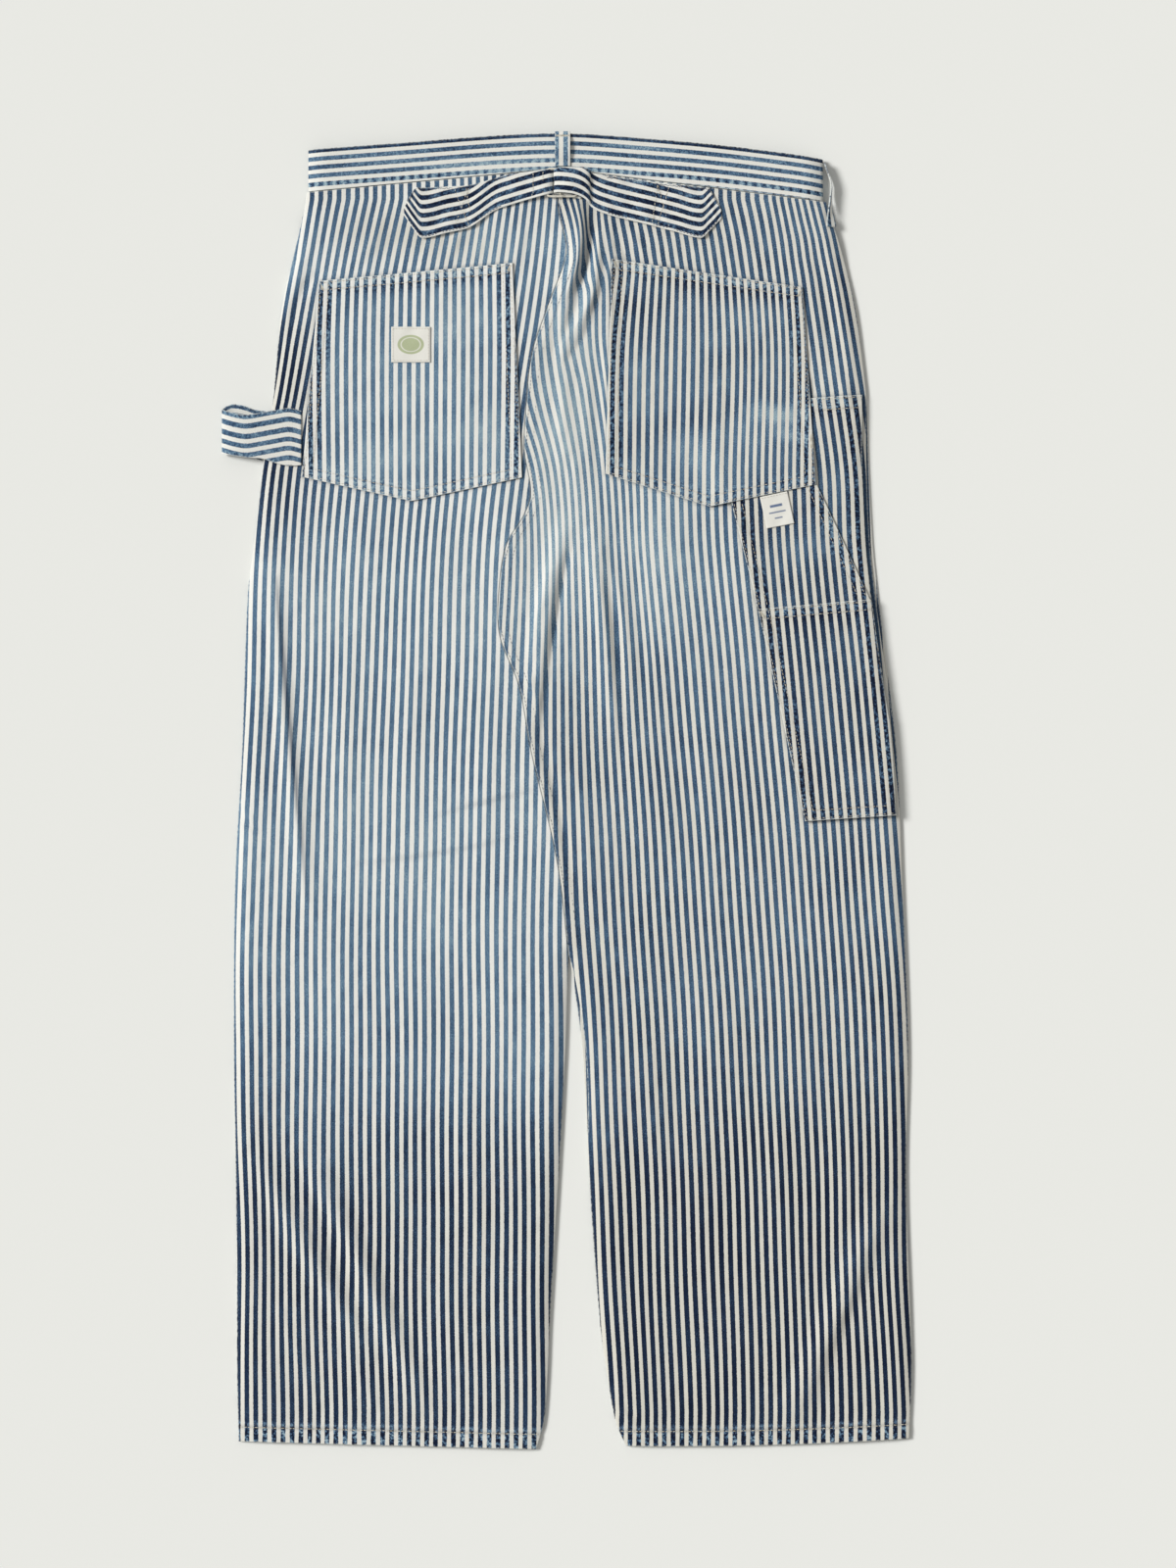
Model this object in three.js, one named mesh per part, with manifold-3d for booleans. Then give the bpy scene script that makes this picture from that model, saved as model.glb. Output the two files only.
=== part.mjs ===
// Striped work trousers, laid flat on their front with the back side up.
// Millimetres. X runs to the right of the back view, Y up to the waist, Z up from the surface
// that they lie on. The origin is under the middle of the garment.

import * as THREE from 'three';
import Module from 'manifold-3d';
import { mergeVertices } from 'three/addons/utils/BufferGeometryUtils.js';

const wasm = await Module();
wasm.setup();

// Cloth and how it lies
const CLOTH = 1.2;
const BAND_CLOTH = 1.6;
const LABEL_CLOTH = 1.0;
const SEAM_GAP = 0.3;
const LAY_GAP = 0.45;
const CROWN = 3.5;
const ROLL_WIDTH = 14;
const HEM_CROWN_SHARE = 0.5;
const HEM_RISE_RUN = 60;

// Leg outline
const CROTCH_Y = -138;
const CROTCH_X = 1.5;
const FRONT_SEAM_RUN = 100;
const SEAT_LOW_Y = 200;
const LEFT_HEM = { side: -544, inner: -550.6, sag: 0 };
const RIGHT_HEM = { side: -541.5, inner: -547.8, sag: 2.4 };

// Where each side seam runs, from the hem up
const SIDES = [
  { y: -545, left: -274.5, right: 286 },
  { y: -486, left: -276, right: 288.3 },
  { y: -445, left: -276, right: 287.5 },
  { y: -322, left: -277, right: 283.5 },
  { y: -216, left: -278.6, right: 285.4 },
  { y: -76, left: -277.6, right: 280.5 },
  { y: 34, left: -271.8, right: 275.5 },
  { y: 129, left: -268.6, right: 264.5 },
  { y: 170, left: -266.5, right: 259.5 },
  { y: 207, left: -261.6, right: 255.8 },
  { y: 284, left: -252.6, right: 252 },
  { y: 321, left: -246.5, right: 251.2 },
  { y: 366, left: -242.3, right: 246.4 },
  { y: 405, left: -238.2, right: 241 },
  { y: 451, left: -228, right: 230 },
  { y: 480, left: -221, right: 220.5 },
  { y: 502, left: -217, right: 214 },
];

// The inner leg seams, from the hem up to the crotch
const INSEAMS = [
  { y: -550, left: -25.5, right: 50.5 },
  { y: -540, left: -22.5, right: 45.5 },
  { y: -527, left: -19, right: 40.5 },
  { y: -486, left: -16, right: 33 },
  { y: -445, left: -14.4, right: 27.5 },
  { y: -322, left: -7, right: 18.5 },
  { y: -216, left: -1.2, right: 12.7 },
  { y: -158, left: 0.6, right: 5.3 },
  { y: CROTCH_Y, left: 1.35, right: 1.65 },
];

// The seat seam, which winds over the folds from the crotch to the waist
const SEAT_SEAM = [
  { y: CROTCH_Y, x: CROTCH_X },
  { y: -76, x: -5.3 },
  { y: -35, x: -13 },
  { y: 34, x: -30 },
  { y: 88, x: -40 },
  { y: 130, x: -56 },
  { y: 170, x: -56.5 },
  { y: 207, x: -50 },
  { y: 230, x: -36 },
  { y: 249, x: -30 },
  { y: 285, x: -35.5 },
  { y: 321, x: -34 },
  { y: 366, x: -29 },
  { y: 405, x: -16 },
  { y: 451, x: -0.5 },
  { y: 486, x: -7 },
  { y: 520, x: -7 },
];

// The front cloth shows past the back's edge along two stretches of the right leg
const PEEKS = {
  side: { from: 60, to: 330, width: 2.6 },
  inner: { from: -290, to: -140, width: 3 },
};
const PEEK_FULLNESS = 0.5;

// Soft folds in the back: where each starts, bends and ends, its height and half its width
const FOLDS = [
  { name: 'seat, by the seam', from: [7, 484], bend: [3, 424], to: [-9, 366], height: 5, reach: 11 },
  { name: 'seat, by the pocket', from: [17, 476], bend: [17, 420], to: [0, 368], height: 4, reach: 10 },
  { name: 'under the seat', from: [-2, 222], bend: [-17, 146], to: [-27, 52], height: 4.5, reach: 13 },
  { name: 'inner thigh', from: [25, 222], bend: [31, 140], to: [42, 40], height: 3.5, reach: 12 },
  { name: 'left side', from: [-246, 190], bend: [-235, 46], to: [-213, -100], height: 3, reach: 13 },
  { name: 'outer shin', from: [-262, -304], bend: [-214, -390], to: [-160, -476], height: 4.5, reach: 17 },
  { name: 'middle shin', from: [-214, -308], bend: [-168, -408], to: [-116, -522], height: 5, reach: 18 },
  { name: 'right shin', from: [266, -342], bend: [225, -440], to: [184, -530], height: 4.5, reach: 19 },
];
const FOLD_SAMPLES = 28;
const FOLD_FULLNESS = 0.6;

// Waistband: one strip that goes all round and buttons at the front
const BAND = {
  left: -216.5,
  right: 214,
  foldRadius: 1.2,
  lowZ: 3.8,
  foldZ: 6.2,
  overlap: 24,
  rampStart: 30,
  rampEnd: 62,
  frontDip: 9,
  endInset: 8,
};
const BAND_FRONT_INNER = [10, BAND.rampStart, 46, BAND.rampEnd, 100, 140, 180];
const BAND_FRONT_OUTER = [-180, -140, -100, -60, -30];
const BAND_BACK_INSETS = [3, 8, 15];
const BAND_BACK_FLAT = 30;
const BAND_STEPS = { fold: 4, back: 8 };
const BAND_SEAM = { left: 500.2, seat: 519.5, right: 492.3, seatX: -7 };
const BAND_TOP = [
  { x: -216, y: 535.5 },
  { x: -138, y: 541.2 },
  { x: -56, y: 547.3 },
  { x: 0, y: 549 },
  { x: 59, y: 545.3 },
  { x: 124, y: 539.6 },
  { x: 190, y: 531.4 },
  { x: 214, y: 527.5 },
];
const WAIST_LIFT = BAND.lowZ - BAND_CLOTH / 2;
const WAIST_LIFT_RUN = 45;
const WAIST_LIFT_START = 60;

// Waist button and its buttonhole
const BUTTON = { radius: 8.5, head: 2.6, rim: 0.8, shank: 1.7, segments: 20 };
const BUTTONHOLE = { length: 20, width: 4.6 };

// Back pockets: five-sided patches, by their corners
const POCKET_STEPS = { half: 5, rows: 9 };
const POCKET_REACH = 26;
const LEFT_POCKET = {
  topLeft: [-207, 426], topRight: [-45.5, 441],
  bottomLeft: [-221.4, 262.3], bottomRight: [-37.5, 261.8], pointShare: 0.5, pointDrop: 20,
};
const RIGHT_POCKET = {
  topLeft: [37.5, 444.4], topRight: [196.8, 420.7],
  bottomLeft: [32.2, 265], bottomRight: [207.9, 255.8], pointShare: 0.495, pointDrop: 23,
};

// Tool pocket: three patches sewn along one slanted left edge and one bottom edge
const TOOL_LEFT = [
  { y: -25.4, x: 198.9 },
  { y: 151.7, x: 159.5 },
  { y: 238.6, x: 138 },
  { y: 332, x: 115 },
];
const TOOL_SIDE_INSET = 3.6;
const TOOL_BOTTOM = [-25.4, -20.5];
const TOOL_DEEP_TOP = [322, 331];
const TOOL_SLANT_TOP = 275;
const TOOL_SLANT_EDGE = { x: 209.5, y: 254.2, runPerDrop: 0.463 };
const TOOL_LOW_TOP = [151.7, 160];

// Labels
const POCKET_LABEL = { left: -146.7, right: -114.2, top: 387.6, bottom: 357.9 };
const TAB_LABEL = {
  left: 160,
  right: 184,
  top: [245.2, 250.2],
  bottom: [219, 223.4],
  lean: 0.22,
  tipY: 250,
};
const LABEL_STEPS = 2;

// Cinch strap: stations along each tab, with the strap's low and high edge and its height over the back
const CINCH_LEFT = [
  { x: -136, low: 480.5, high: 487, lift: 1 },
  { x: -127, low: 467.5, high: 503, lift: 1 },
  { x: -121, low: 461.7, high: 503.6, lift: 1 },
  { x: -100, low: 466, high: 504.6, lift: 1 },
  { x: -81, low: 470.7, high: 506, lift: 1 },
  { x: -60, low: 484.6, high: 511.5, lift: 1.1 },
  { x: -46, low: 489.5, high: 515.3, lift: 1.8 },
  { x: -36, low: 492.5, high: 516.4, lift: 2.9 },
  { x: -27, low: 495, high: 517, lift: 3.8 },
  { x: -19, low: 497.4, high: 517.6, lift: 5.1 },
  { x: -15, low: 498.4, high: 517.6, lift: 4.9 },
  { x: -13.1, low: 498.8, high: 517.6, lift: 3 },
  { x: -15, low: 498.8, high: 517.6, lift: 1.2 },
  { x: -19, low: 498.8, high: 517, lift: 1 },
  { x: -31, low: 496, high: 516, lift: 1 },
];
const CINCH_RIGHT = [
  { x: 129, low: 478, high: 485, lift: 1 },
  { x: 118.5, low: 467, high: 503.2, lift: 1 },
  { x: 112, low: 461.7, high: 504, lift: 1 },
  { x: 90, low: 467, high: 506.4, lift: 1 },
  { x: 71, low: 472, high: 508.6, lift: 1 },
  { x: 52, low: 476.5, high: 511, lift: 1 },
  { x: 38, low: 480, high: 512.8, lift: 1.5 },
  { x: 26, low: 484, high: 514.6, lift: 2.9 },
  { x: 17.6, low: 489, high: 516, lift: 4.5 },
  { x: 9, low: 494, high: 517, lift: 5.6 },
  { x: 1, low: 496.6, high: 517.6, lift: 6 },
  { x: -5, low: 497.8, high: 517.6, lift: 5.6 },
  { x: -8.6, low: 498, high: 517.6, lift: 4.4 },
  { x: -9.6, low: 498, high: 517.6, lift: 3 },
  { x: -8.4, low: 498, high: 517.6, lift: 1.6 },
  { x: -5, low: 498, high: 517.6, lift: 1 },
  { x: 12, low: 494, high: 516, lift: 1 },
];
const BUCKLE = { left: -17.5, right: 9, bottom: 495.2, top: 520.1, wire: 2, barX: -4.5, lift: 1.95 };
const CINCH_GROUND_Y = 500;

// Hammer loop: stations from the pocket's edge out, round the fold and back to the side seam
const HAMMER_LOOP = [
  { x: -221.9, low: 272, high: 317.5, z: 7.3 },
  { x: -232, low: 271.5, high: 319.8, z: 7.5 },
  { x: -244, low: 274, high: 318, z: 7.8 },
  { x: -255, low: 277.5, high: 316, z: 8.3 },
  { x: -268, low: 278.5, high: 314, z: 8.8 },
  { x: -278, low: 280, high: 315.5, z: 8.3 },
  { x: -284.6, low: 281, high: 317.5, z: 6.6 },
  { x: -287.9, low: 281.5, high: 319, z: 4.3 },
  { x: -285.8, low: 282, high: 321, z: 1.8 },
  { x: -280, low: 282, high: 323.5, z: 0.6 },
  { x: -270, low: 280, high: 322, z: 0.6 },
  { x: -261, low: 278, high: 319, z: 0.6 },
  { x: -252.6, low: 276, high: 317, z: 0.6, lean: 0.168 },
];

// Belt loops
const SEAT_LOOP = { left: -10, right: 2.8 };
const SEAT_LOOP_PATH = [
  { y: 521.4, lift: 0.9 },
  { y: 525, lift: 1.3 },
  { y: 530, lift: 2.7 },
  { y: 536, lift: 3.5 },
  { y: 542, lift: 3.1 },
  { y: 546.5, lift: 1.7 },
  { y: 548.6, lift: 1.3 },
  { y: 549.9, lift: 0.6 },
  { y: 550.05, lift: -0.6 },
  { y: 550.05, lift: -2 },
];
const SIDE_LOOP_PATH = [
  { y: 524.5, outer: [215.2, 1.6], inner: [215.2, 9.4] },
  { y: 516, outer: [218.6, 1.5], inner: [218, 9.8] },
  { y: 506, outer: [221.4, 1.5], inner: [220.6, 10] },
  { y: 496, outer: [221.2, 2.2], inner: [219.8, 10.2] },
  { y: 486, outer: [221.6, 4.4], inner: [218.4, 10.6] },
  { y: 478, outer: [223.8, 6.2], inner: [217.2, 10.6] },
  { y: 471, outer: [225.2, 6.4], inner: [216.8, 10.2] },
];
const HIDDEN_LOOP = { left: -206, right: -194, bottom: 484, top: 532, z: 2, steps: 4 };

// Colours of the cloth, trims and hardware
const FINISH = {
  faded: { color: 0xa8b4bc, roughness: 0.92, metalness: 0 },
  deep: { color: 0x8f9aa6, roughness: 0.92, metalness: 0 },
  pocket: { color: 0xa6b2bb, roughness: 0.92, metalness: 0 },
  label: { color: 0xe4e2d8, roughness: 0.85, metalness: 0 },
  wire: { color: 0xdedbce, roughness: 0.45, metalness: 0.2 },
  button: { color: 0x8b8f94, roughness: 0.4, metalness: 0.9 },
};

// How finely the panels are divided: rows up each stretch, and steps across
const PANEL_ROWS = { leg: 14, thigh: 11, seat: 16 };
const EDGE_SHARES = [0.015, 0.036, 0.068];
const BACK_STEPS = { left: 11, right: 12, rightBunch: 1.45 };
const FRONT_STEPS = 6;
const FRONT_EDGE_SHARES = [0.04];
const FRONT_ROW_STEP = 3;
const FRONT_CLOSE_ROWS_Y = 390;

// The hem's and the waist's own bend die out over an eighth of a panel's length
const END_ROWS = 8;

const clamp = (t) => Math.min(1, Math.max(0, t));
const lerp = (a, b, t) => a + (b - a) * t;
const smooth = (t) => clamp(t) ** 2 * (3 - 2 * clamp(t));
const even = (from, to, steps) => Array.from({ length: steps + 1 }, (_, i) => lerp(from, to, i / steps));

// A smooth curve through one column of a table, given by another column
function curve(rows, from, to) {
  const at = rows.map((row) => row[from]);
  const value = rows.map((row) => row[to]);
  const slope = value.map((_, i) => {
    const before = Math.max(i - 1, 0);
    const after = Math.min(i + 1, value.length - 1);
    return (value[after] - value[before]) / (at[after] - at[before]);
  });
  return (place) => {
    let i = 0;
    while (i < at.length - 2 && place > at[i + 1]) i += 1;
    const span = at[i + 1] - at[i];
    const t = clamp((place - at[i]) / span);
    const ease = t * t * (3 - 2 * t);
    const leave = t * (1 - t) ** 2 * span * slope[i];
    const arrive = t * t * (t - 1) * span * slope[i + 1];
    return lerp(value[i], value[i + 1], ease) + leave + arrive;
  };
}

const sideLeft = curve(SIDES, 'y', 'left');
const sideRight = curve(SIDES, 'y', 'right');
const inseamLeft = curve(INSEAMS, 'y', 'left');
const inseamRight = curve(INSEAMS, 'y', 'right');
const seatSeam = curve(SEAT_SEAM, 'y', 'x');
const bandTop = curve(BAND_TOP, 'x', 'y');
const toolLeft = curve(TOOL_LEFT, 'y', 'x');

// How far the front's edge stands past the back's at height y
function peek({ from, to, width }, y) {
  const t = clamp((y - from) / (to - from));
  return width * Math.sin(Math.PI * t) ** PEEK_FULLNESS;
}

const backSideRight = (y) => sideRight(y) - peek(PEEKS.side, y);
const backInnerLeft = (y) => (y < CROTCH_Y ? inseamLeft(y) : seatSeam(y) - SEAM_GAP / 2);
const backInnerRight = (y) =>
  y < CROTCH_Y ? inseamRight(y) + peek(PEEKS.inner, y) : seatSeam(y) + SEAM_GAP / 2;
const frontInnerLeft = (y) => (y < CROTCH_Y ? inseamLeft(y) : frontSeam(y) - SEAM_GAP / 2);
const frontInnerRight = (y) => (y < CROTCH_Y ? inseamRight(y) : frontSeam(y) + SEAM_GAP / 2);

// The centre front seam runs straight up from the crotch to the middle of the waist
function frontSeam(y) {
  return lerp(CROTCH_X, 0, smooth((y - CROTCH_Y) / FRONT_SEAM_RUN));
}

// The seam between the back and the waistband: two straight lines that meet at the seat seam
function waistSeam(x) {
  return x < BAND_SEAM.seatX
    ? lerp(BAND_SEAM.left, BAND_SEAM.seat, (x - BAND.left) / (BAND_SEAM.seatX - BAND.left))
    : lerp(BAND_SEAM.seat, BAND_SEAM.right, (x - BAND_SEAM.seatX) / (BAND.right - BAND_SEAM.seatX));
}

// The front waist lies lower than the back one, most at its middle
function frontDip(x) {
  return BAND.frontDip * (1 - (x / BAND.right) ** 2);
}

// The cloth rises by the waist to meet the band, which stands on its button
function waistLift(x, y) {
  const start = waistSeam(x) - WAIST_LIFT_START;
  return WAIST_LIFT * smooth((y - start) / WAIST_LIFT_RUN);
}

// Height that a fold adds at a point: a cosine across it, fading out at both its ends
function foldHeight(fold, x, y) {
  const [fromX, fromY] = fold.from;
  const [toX, toY] = fold.to;
  const pullX = 2 * fold.bend[0] - (fromX + toX) / 2;
  const pullY = 2 * fold.bend[1] - (fromY + toY) / 2;
  let nearest = Infinity;
  let along = 0;
  for (const t of even(0, 1, FOLD_SAMPLES)) {
    const lineX = (1 - t) ** 2 * fromX + 2 * t * (1 - t) * pullX + t * t * toX;
    const lineY = (1 - t) ** 2 * fromY + 2 * t * (1 - t) * pullY + t * t * toY;
    const distance = Math.hypot(x - lineX, y - lineY);
    if (distance < nearest) {
      nearest = distance;
      along = t;
    }
  }
  if (nearest >= fold.reach) return 0;
  const ends = Math.sin(Math.PI * along) ** FOLD_FULLNESS;
  return fold.height * Math.cos((Math.PI / 2) * (nearest / fold.reach)) ** 2 * ends;
}

// Height of the back's upper side over the surface
function backTop(x, y) {
  const onLeft = x < (y < CROTCH_Y ? (inseamLeft(y) + inseamRight(y)) / 2 : seatSeam(y));
  const aboveCrotch = Math.max(0, y - CROTCH_Y);
  const toSide = Math.min(x - sideLeft(y), backSideRight(y) - x);
  const toInner = onLeft ? backInnerLeft(y) - x : x - backInnerRight(y);
  const edge = clamp(Math.min(toSide, toInner + aboveCrotch) / ROLL_WIDTH);
  const hemShare = lerp(HEM_CROWN_SHARE, 1, smooth((y - LEFT_HEM.side) / HEM_RISE_RUN));
  const roll = 1 - (1 - edge) ** 2;
  const folds = FOLDS.reduce((sum, fold) => sum + foldHeight(fold, x, y), 0);
  return waistLift(x, y) + 2 * CLOTH + SEAM_GAP + (CROWN * hemShare + folds) * roll;
}

// A closed wall between two grids of points, made to face outwards
function wall(lower, upper) {
  const rows = lower.length;
  const columns = lower[0].length;
  const positions = [...lower, ...upper].flat().flatMap((point) => [point.x, point.y, point.z]);
  const low = (j, i) => j * columns + i;
  const high = (j, i) => rows * columns + low(j, i);
  const index = [];
  const quad = (a, b, c, d) => index.push(a, b, c, a, c, d);
  for (let j = 0; j < rows - 1; j += 1) {
    for (let i = 0; i < columns - 1; i += 1) {
      quad(high(j, i), high(j, i + 1), high(j + 1, i + 1), high(j + 1, i));
      quad(low(j, i), low(j + 1, i), low(j + 1, i + 1), low(j, i + 1));
    }
    quad(low(j, 0), high(j, 0), high(j + 1, 0), low(j + 1, 0));
    quad(low(j + 1, columns - 1), high(j + 1, columns - 1), high(j, columns - 1), low(j, columns - 1));
  }
  for (let i = 0; i < columns - 1; i += 1) {
    quad(low(0, i + 1), high(0, i + 1), high(0, i), low(0, i));
    quad(low(rows - 1, i), high(rows - 1, i), high(rows - 1, i + 1), low(rows - 1, i + 1));
  }
  const geometry = new THREE.BufferGeometry();
  geometry.setAttribute('position', new THREE.Float32BufferAttribute(positions, 3));
  geometry.setIndex(volume(positions, index) < 0 ? index.reverse() : index);
  return geometry;
}

// Signed volume of an indexed mesh
function volume(positions, index) {
  const corner = (k) => new THREE.Vector3().fromArray(positions, 3 * index[k]);
  let sum = 0;
  for (let k = 0; k < index.length; k += 3) {
    sum += corner(k).dot(corner(k + 1).cross(corner(k + 2)));
  }
  return sum / 6;
}

// A wall that lies level: its upper side is a thickness above its lower side
function levelWall(points, thickness) {
  const raised = points.map((row) => row.map((point) => point.clone().setZ(point.z + thickness)));
  return wall(points, raised);
}

// A strip through stations, each the two ends of a line across it, as thick as the cloth
function ribbon(stations, thickness) {
  const lines = stations.map(([low, high]) => ({
    low: new THREE.Vector3(...low),
    high: new THREE.Vector3(...high),
  }));
  const offset = (end, side) => lines.map((line, i) => {
    const before = lines[Math.max(i - 1, 0)];
    const after = lines[Math.min(i + 1, lines.length - 1)];
    const along = after.low.clone().add(after.high).sub(before.low).sub(before.high);
    const across = line.high.clone().sub(line.low);
    const normal = along.cross(across).normalize();
    return line[end].clone().addScaledVector(normal, (side * thickness) / 2);
  });
  return wall([offset('low', -1), offset('high', -1)], [offset('low', 1), offset('high', 1)]);
}

// Shares of a width: a few narrow steps at each edge, and even or bunched steps between
function shares(steps, edges, bunch = 1) {
  const last = edges[edges.length - 1];
  const middle = even(0, 1, steps).map((t) => lerp(last, 1 - last, t ** bunch));
  const starts = [0, ...edges.slice(0, -1)];
  return [...starts, ...middle, ...starts.map((edge) => 1 - edge).reverse()];
}

// Heights of the rows at a panel's inner edge, closer together over the seat
function rowHeights(hem, waist) {
  return [
    ...even(hem, CROTCH_Y, PANEL_ROWS.leg).slice(0, -1),
    ...even(CROTCH_Y, SEAT_LOW_Y, PANEL_ROWS.thigh).slice(0, -1),
    ...even(SEAT_LOW_Y, waist, PANEL_ROWS.seat),
  ];
}

// A bow across a panel: none at its edges, one at its middle
const bow = (s) => 4 * s * (1 - s);

// Points of a leg panel, row by row from the hem, each row from its left edge to its right
function panelPoints(shape) {
  const { left, right, leftHem, rightHem, leftTop, rightTop } = shape;
  const { innerIsRight, sag, waist, split, keep, z } = shape;
  const innerHem = innerIsRight ? rightHem : leftHem;
  const innerTop = innerIsRight ? rightTop : leftTop;
  const outerHem = innerIsRight ? leftHem : rightHem;
  const outerTop = innerIsRight ? leftTop : rightTop;
  return rowHeights(innerHem, innerTop).filter(keep).map((innerY) => {
    const t = (innerY - innerHem) / (innerTop - innerHem);
    const outerY = lerp(outerHem, outerTop, t);
    const [leftY, rightY] = innerIsRight ? [outerY, innerY] : [innerY, outerY];
    const hemSag = (1 - clamp(t * END_ROWS)) * sag;
    const waistFade = clamp(1 - (1 - t) * END_ROWS);
    return split.map((s) => {
      const x = lerp(left(leftY), right(rightY), s);
      const waistBend = waistFade * (waist(x) - lerp(leftTop, rightTop, s));
      const y = lerp(leftY, rightY, s) + waistBend - hemSag * bow(s);
      return new THREE.Vector3(x, y, z(x, y));
    });
  });
}

const LEFT_SHARES = shares(BACK_STEPS.left, EDGE_SHARES);
const RIGHT_SHARES = shares(BACK_STEPS.right, EDGE_SHARES, BACK_STEPS.rightBunch);
const FRONT_SHARES = shares(FRONT_STEPS, FRONT_EDGE_SHARES);
const backBottom = (x, y) => backTop(x, y) - CLOTH;
const keepAll = () => true;
const keepSome = (y, i) => i % FRONT_ROW_STEP === 0 || y > FRONT_CLOSE_ROWS_Y;

function backPanel(isLeft) {
  const hem = isLeft ? LEFT_HEM : RIGHT_HEM;
  const points = panelPoints({
    left: isLeft ? sideLeft : backInnerRight,
    right: isLeft ? backInnerLeft : backSideRight,
    leftHem: isLeft ? hem.side : hem.inner,
    rightHem: isLeft ? hem.inner : hem.side,
    leftTop: isLeft ? BAND_SEAM.left : BAND_SEAM.seat,
    rightTop: isLeft ? BAND_SEAM.seat : BAND_SEAM.right,
    innerIsRight: isLeft,
    sag: hem.sag,
    waist: waistSeam,
    split: isLeft ? LEFT_SHARES : RIGHT_SHARES,
    keep: keepAll,
    z: backBottom,
  });
  return levelWall(points, CLOTH);
}

function frontPanel(isLeft) {
  const hem = isLeft ? LEFT_HEM : RIGHT_HEM;
  const middleTop = waistSeam(0) - frontDip(0);
  const points = panelPoints({
    left: isLeft ? sideLeft : frontInnerRight,
    right: isLeft ? frontInnerLeft : sideRight,
    leftHem: isLeft ? hem.side : hem.inner,
    rightHem: isLeft ? hem.inner : hem.side,
    leftTop: isLeft ? BAND_SEAM.left : middleTop,
    rightTop: isLeft ? middleTop : BAND_SEAM.right,
    innerIsRight: isLeft,
    sag: hem.sag,
    waist: (x) => waistSeam(x) - frontDip(x),
    split: FRONT_SHARES,
    keep: keepSome,
    z: waistLift,
  });
  return levelWall(points, CLOTH);
}

// A patch that lies on the back and on other patches, between a left and a right edge
class Patch {
  constructor({ left, right, top, bottom, split, rows, on = [], reach = 0, thickness = CLOTH }) {
    Object.assign(this, { left, right, top, bottom, split, rows, on, reach, thickness });
  }

  // Whether the patch lies under a point, or within a reach of it
  covers(x, y, reach) {
    const share = clamp((x - this.left(y)) / (this.right(y) - this.left(y)));
    const inHeight = y < this.top(share) + reach && y > this.bottom(share) - reach;
    return inHeight && x > this.left(y) - reach && x < this.right(y) + reach;
  }

  // Heights of the patch, over all that lies within a reach of the point
  bottomAt(x, y, reach = this.reach) {
    const under = this.on.filter((patch) => patch.covers(x, y, reach));
    return LAY_GAP + Math.max(backTop(x, y), ...under.map((patch) => patch.topAt(x, y, reach)));
  }

  topAt(x, y, reach) {
    return this.bottomAt(x, y, reach) + this.thickness;
  }

  geometry() {
    const points = even(0, 1, this.rows).map((t) => this.split.map((s) => {
      const y = lerp(this.bottom(s), this.top(s), t);
      const x = lerp(this.left(y), this.right(y), s);
      return new THREE.Vector3(x, y, this.bottomAt(x, y));
    }));
    return levelWall(points, this.thickness);
  }
}

const between = ([from, to]) => (s) => lerp(from, to, s);

function backPocket(corners, on) {
  const { topLeft, topRight, bottomLeft, bottomRight, pointShare, pointDrop } = corners;
  const edge = (top, bottom) => (y) => lerp(bottom[0], top[0], (y - bottom[1]) / (top[1] - bottom[1]));
  const bottomLine = between([bottomLeft[1], bottomRight[1]]);
  const drop = (s) => pointDrop * (s < pointShare ? s / pointShare : (1 - s) / (1 - pointShare));
  return new Patch({
    left: edge(topLeft, bottomLeft),
    right: edge(topRight, bottomRight),
    top: between([topLeft[1], topRight[1]]),
    bottom: (s) => bottomLine(s) - drop(s),
    split: [
      ...even(0, pointShare, POCKET_STEPS.half),
      ...even(pointShare, 1, POCKET_STEPS.half).slice(1),
    ],
    rows: POCKET_STEPS.rows,
    on,
    reach: POCKET_REACH,
  });
}

const toolRight = (y) => backSideRight(y) - TOOL_SIDE_INSET;
const slantEdge = (y) => TOOL_SLANT_EDGE.x + (TOOL_SLANT_EDGE.y - y) * TOOL_SLANT_EDGE.runPerDrop;
const toolDeep = new Patch({
  left: toolLeft,
  right: toolRight,
  top: between(TOOL_DEEP_TOP),
  bottom: between(TOOL_BOTTOM),
  split: [0, 0.25, 0.5, 0.75, 0.9, 0.96, 1],
  rows: 13,
});
const toolSlant = new Patch({
  left: toolLeft,
  right: (y) => Math.min(slantEdge(y), toolRight(y)),
  top: () => TOOL_SLANT_TOP,
  bottom: between(TOOL_BOTTOM),
  split: [0, 0.3, 0.6, 0.88, 0.95, 1],
  rows: 11,
  on: [toolDeep],
  reach: 2,
});
const toolLow = new Patch({
  left: toolLeft,
  right: toolRight,
  top: between(TOOL_LOW_TOP),
  bottom: between(TOOL_BOTTOM),
  split: [0, 0.3, 0.6, 0.88, 0.95, 1],
  rows: 7,
  on: [toolDeep, toolSlant],
  reach: 2,
});
const pocketLeft = backPocket(LEFT_POCKET, []);
const pocketRight = backPocket(RIGHT_POCKET, [toolDeep, toolSlant]);
const pocketLabel = new Patch({
  left: () => POCKET_LABEL.left,
  right: () => POCKET_LABEL.right,
  top: () => POCKET_LABEL.top,
  bottom: () => POCKET_LABEL.bottom,
  split: even(0, 1, LABEL_STEPS),
  rows: LABEL_STEPS,
  on: [pocketLeft],
  thickness: LABEL_CLOTH,
});
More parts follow.
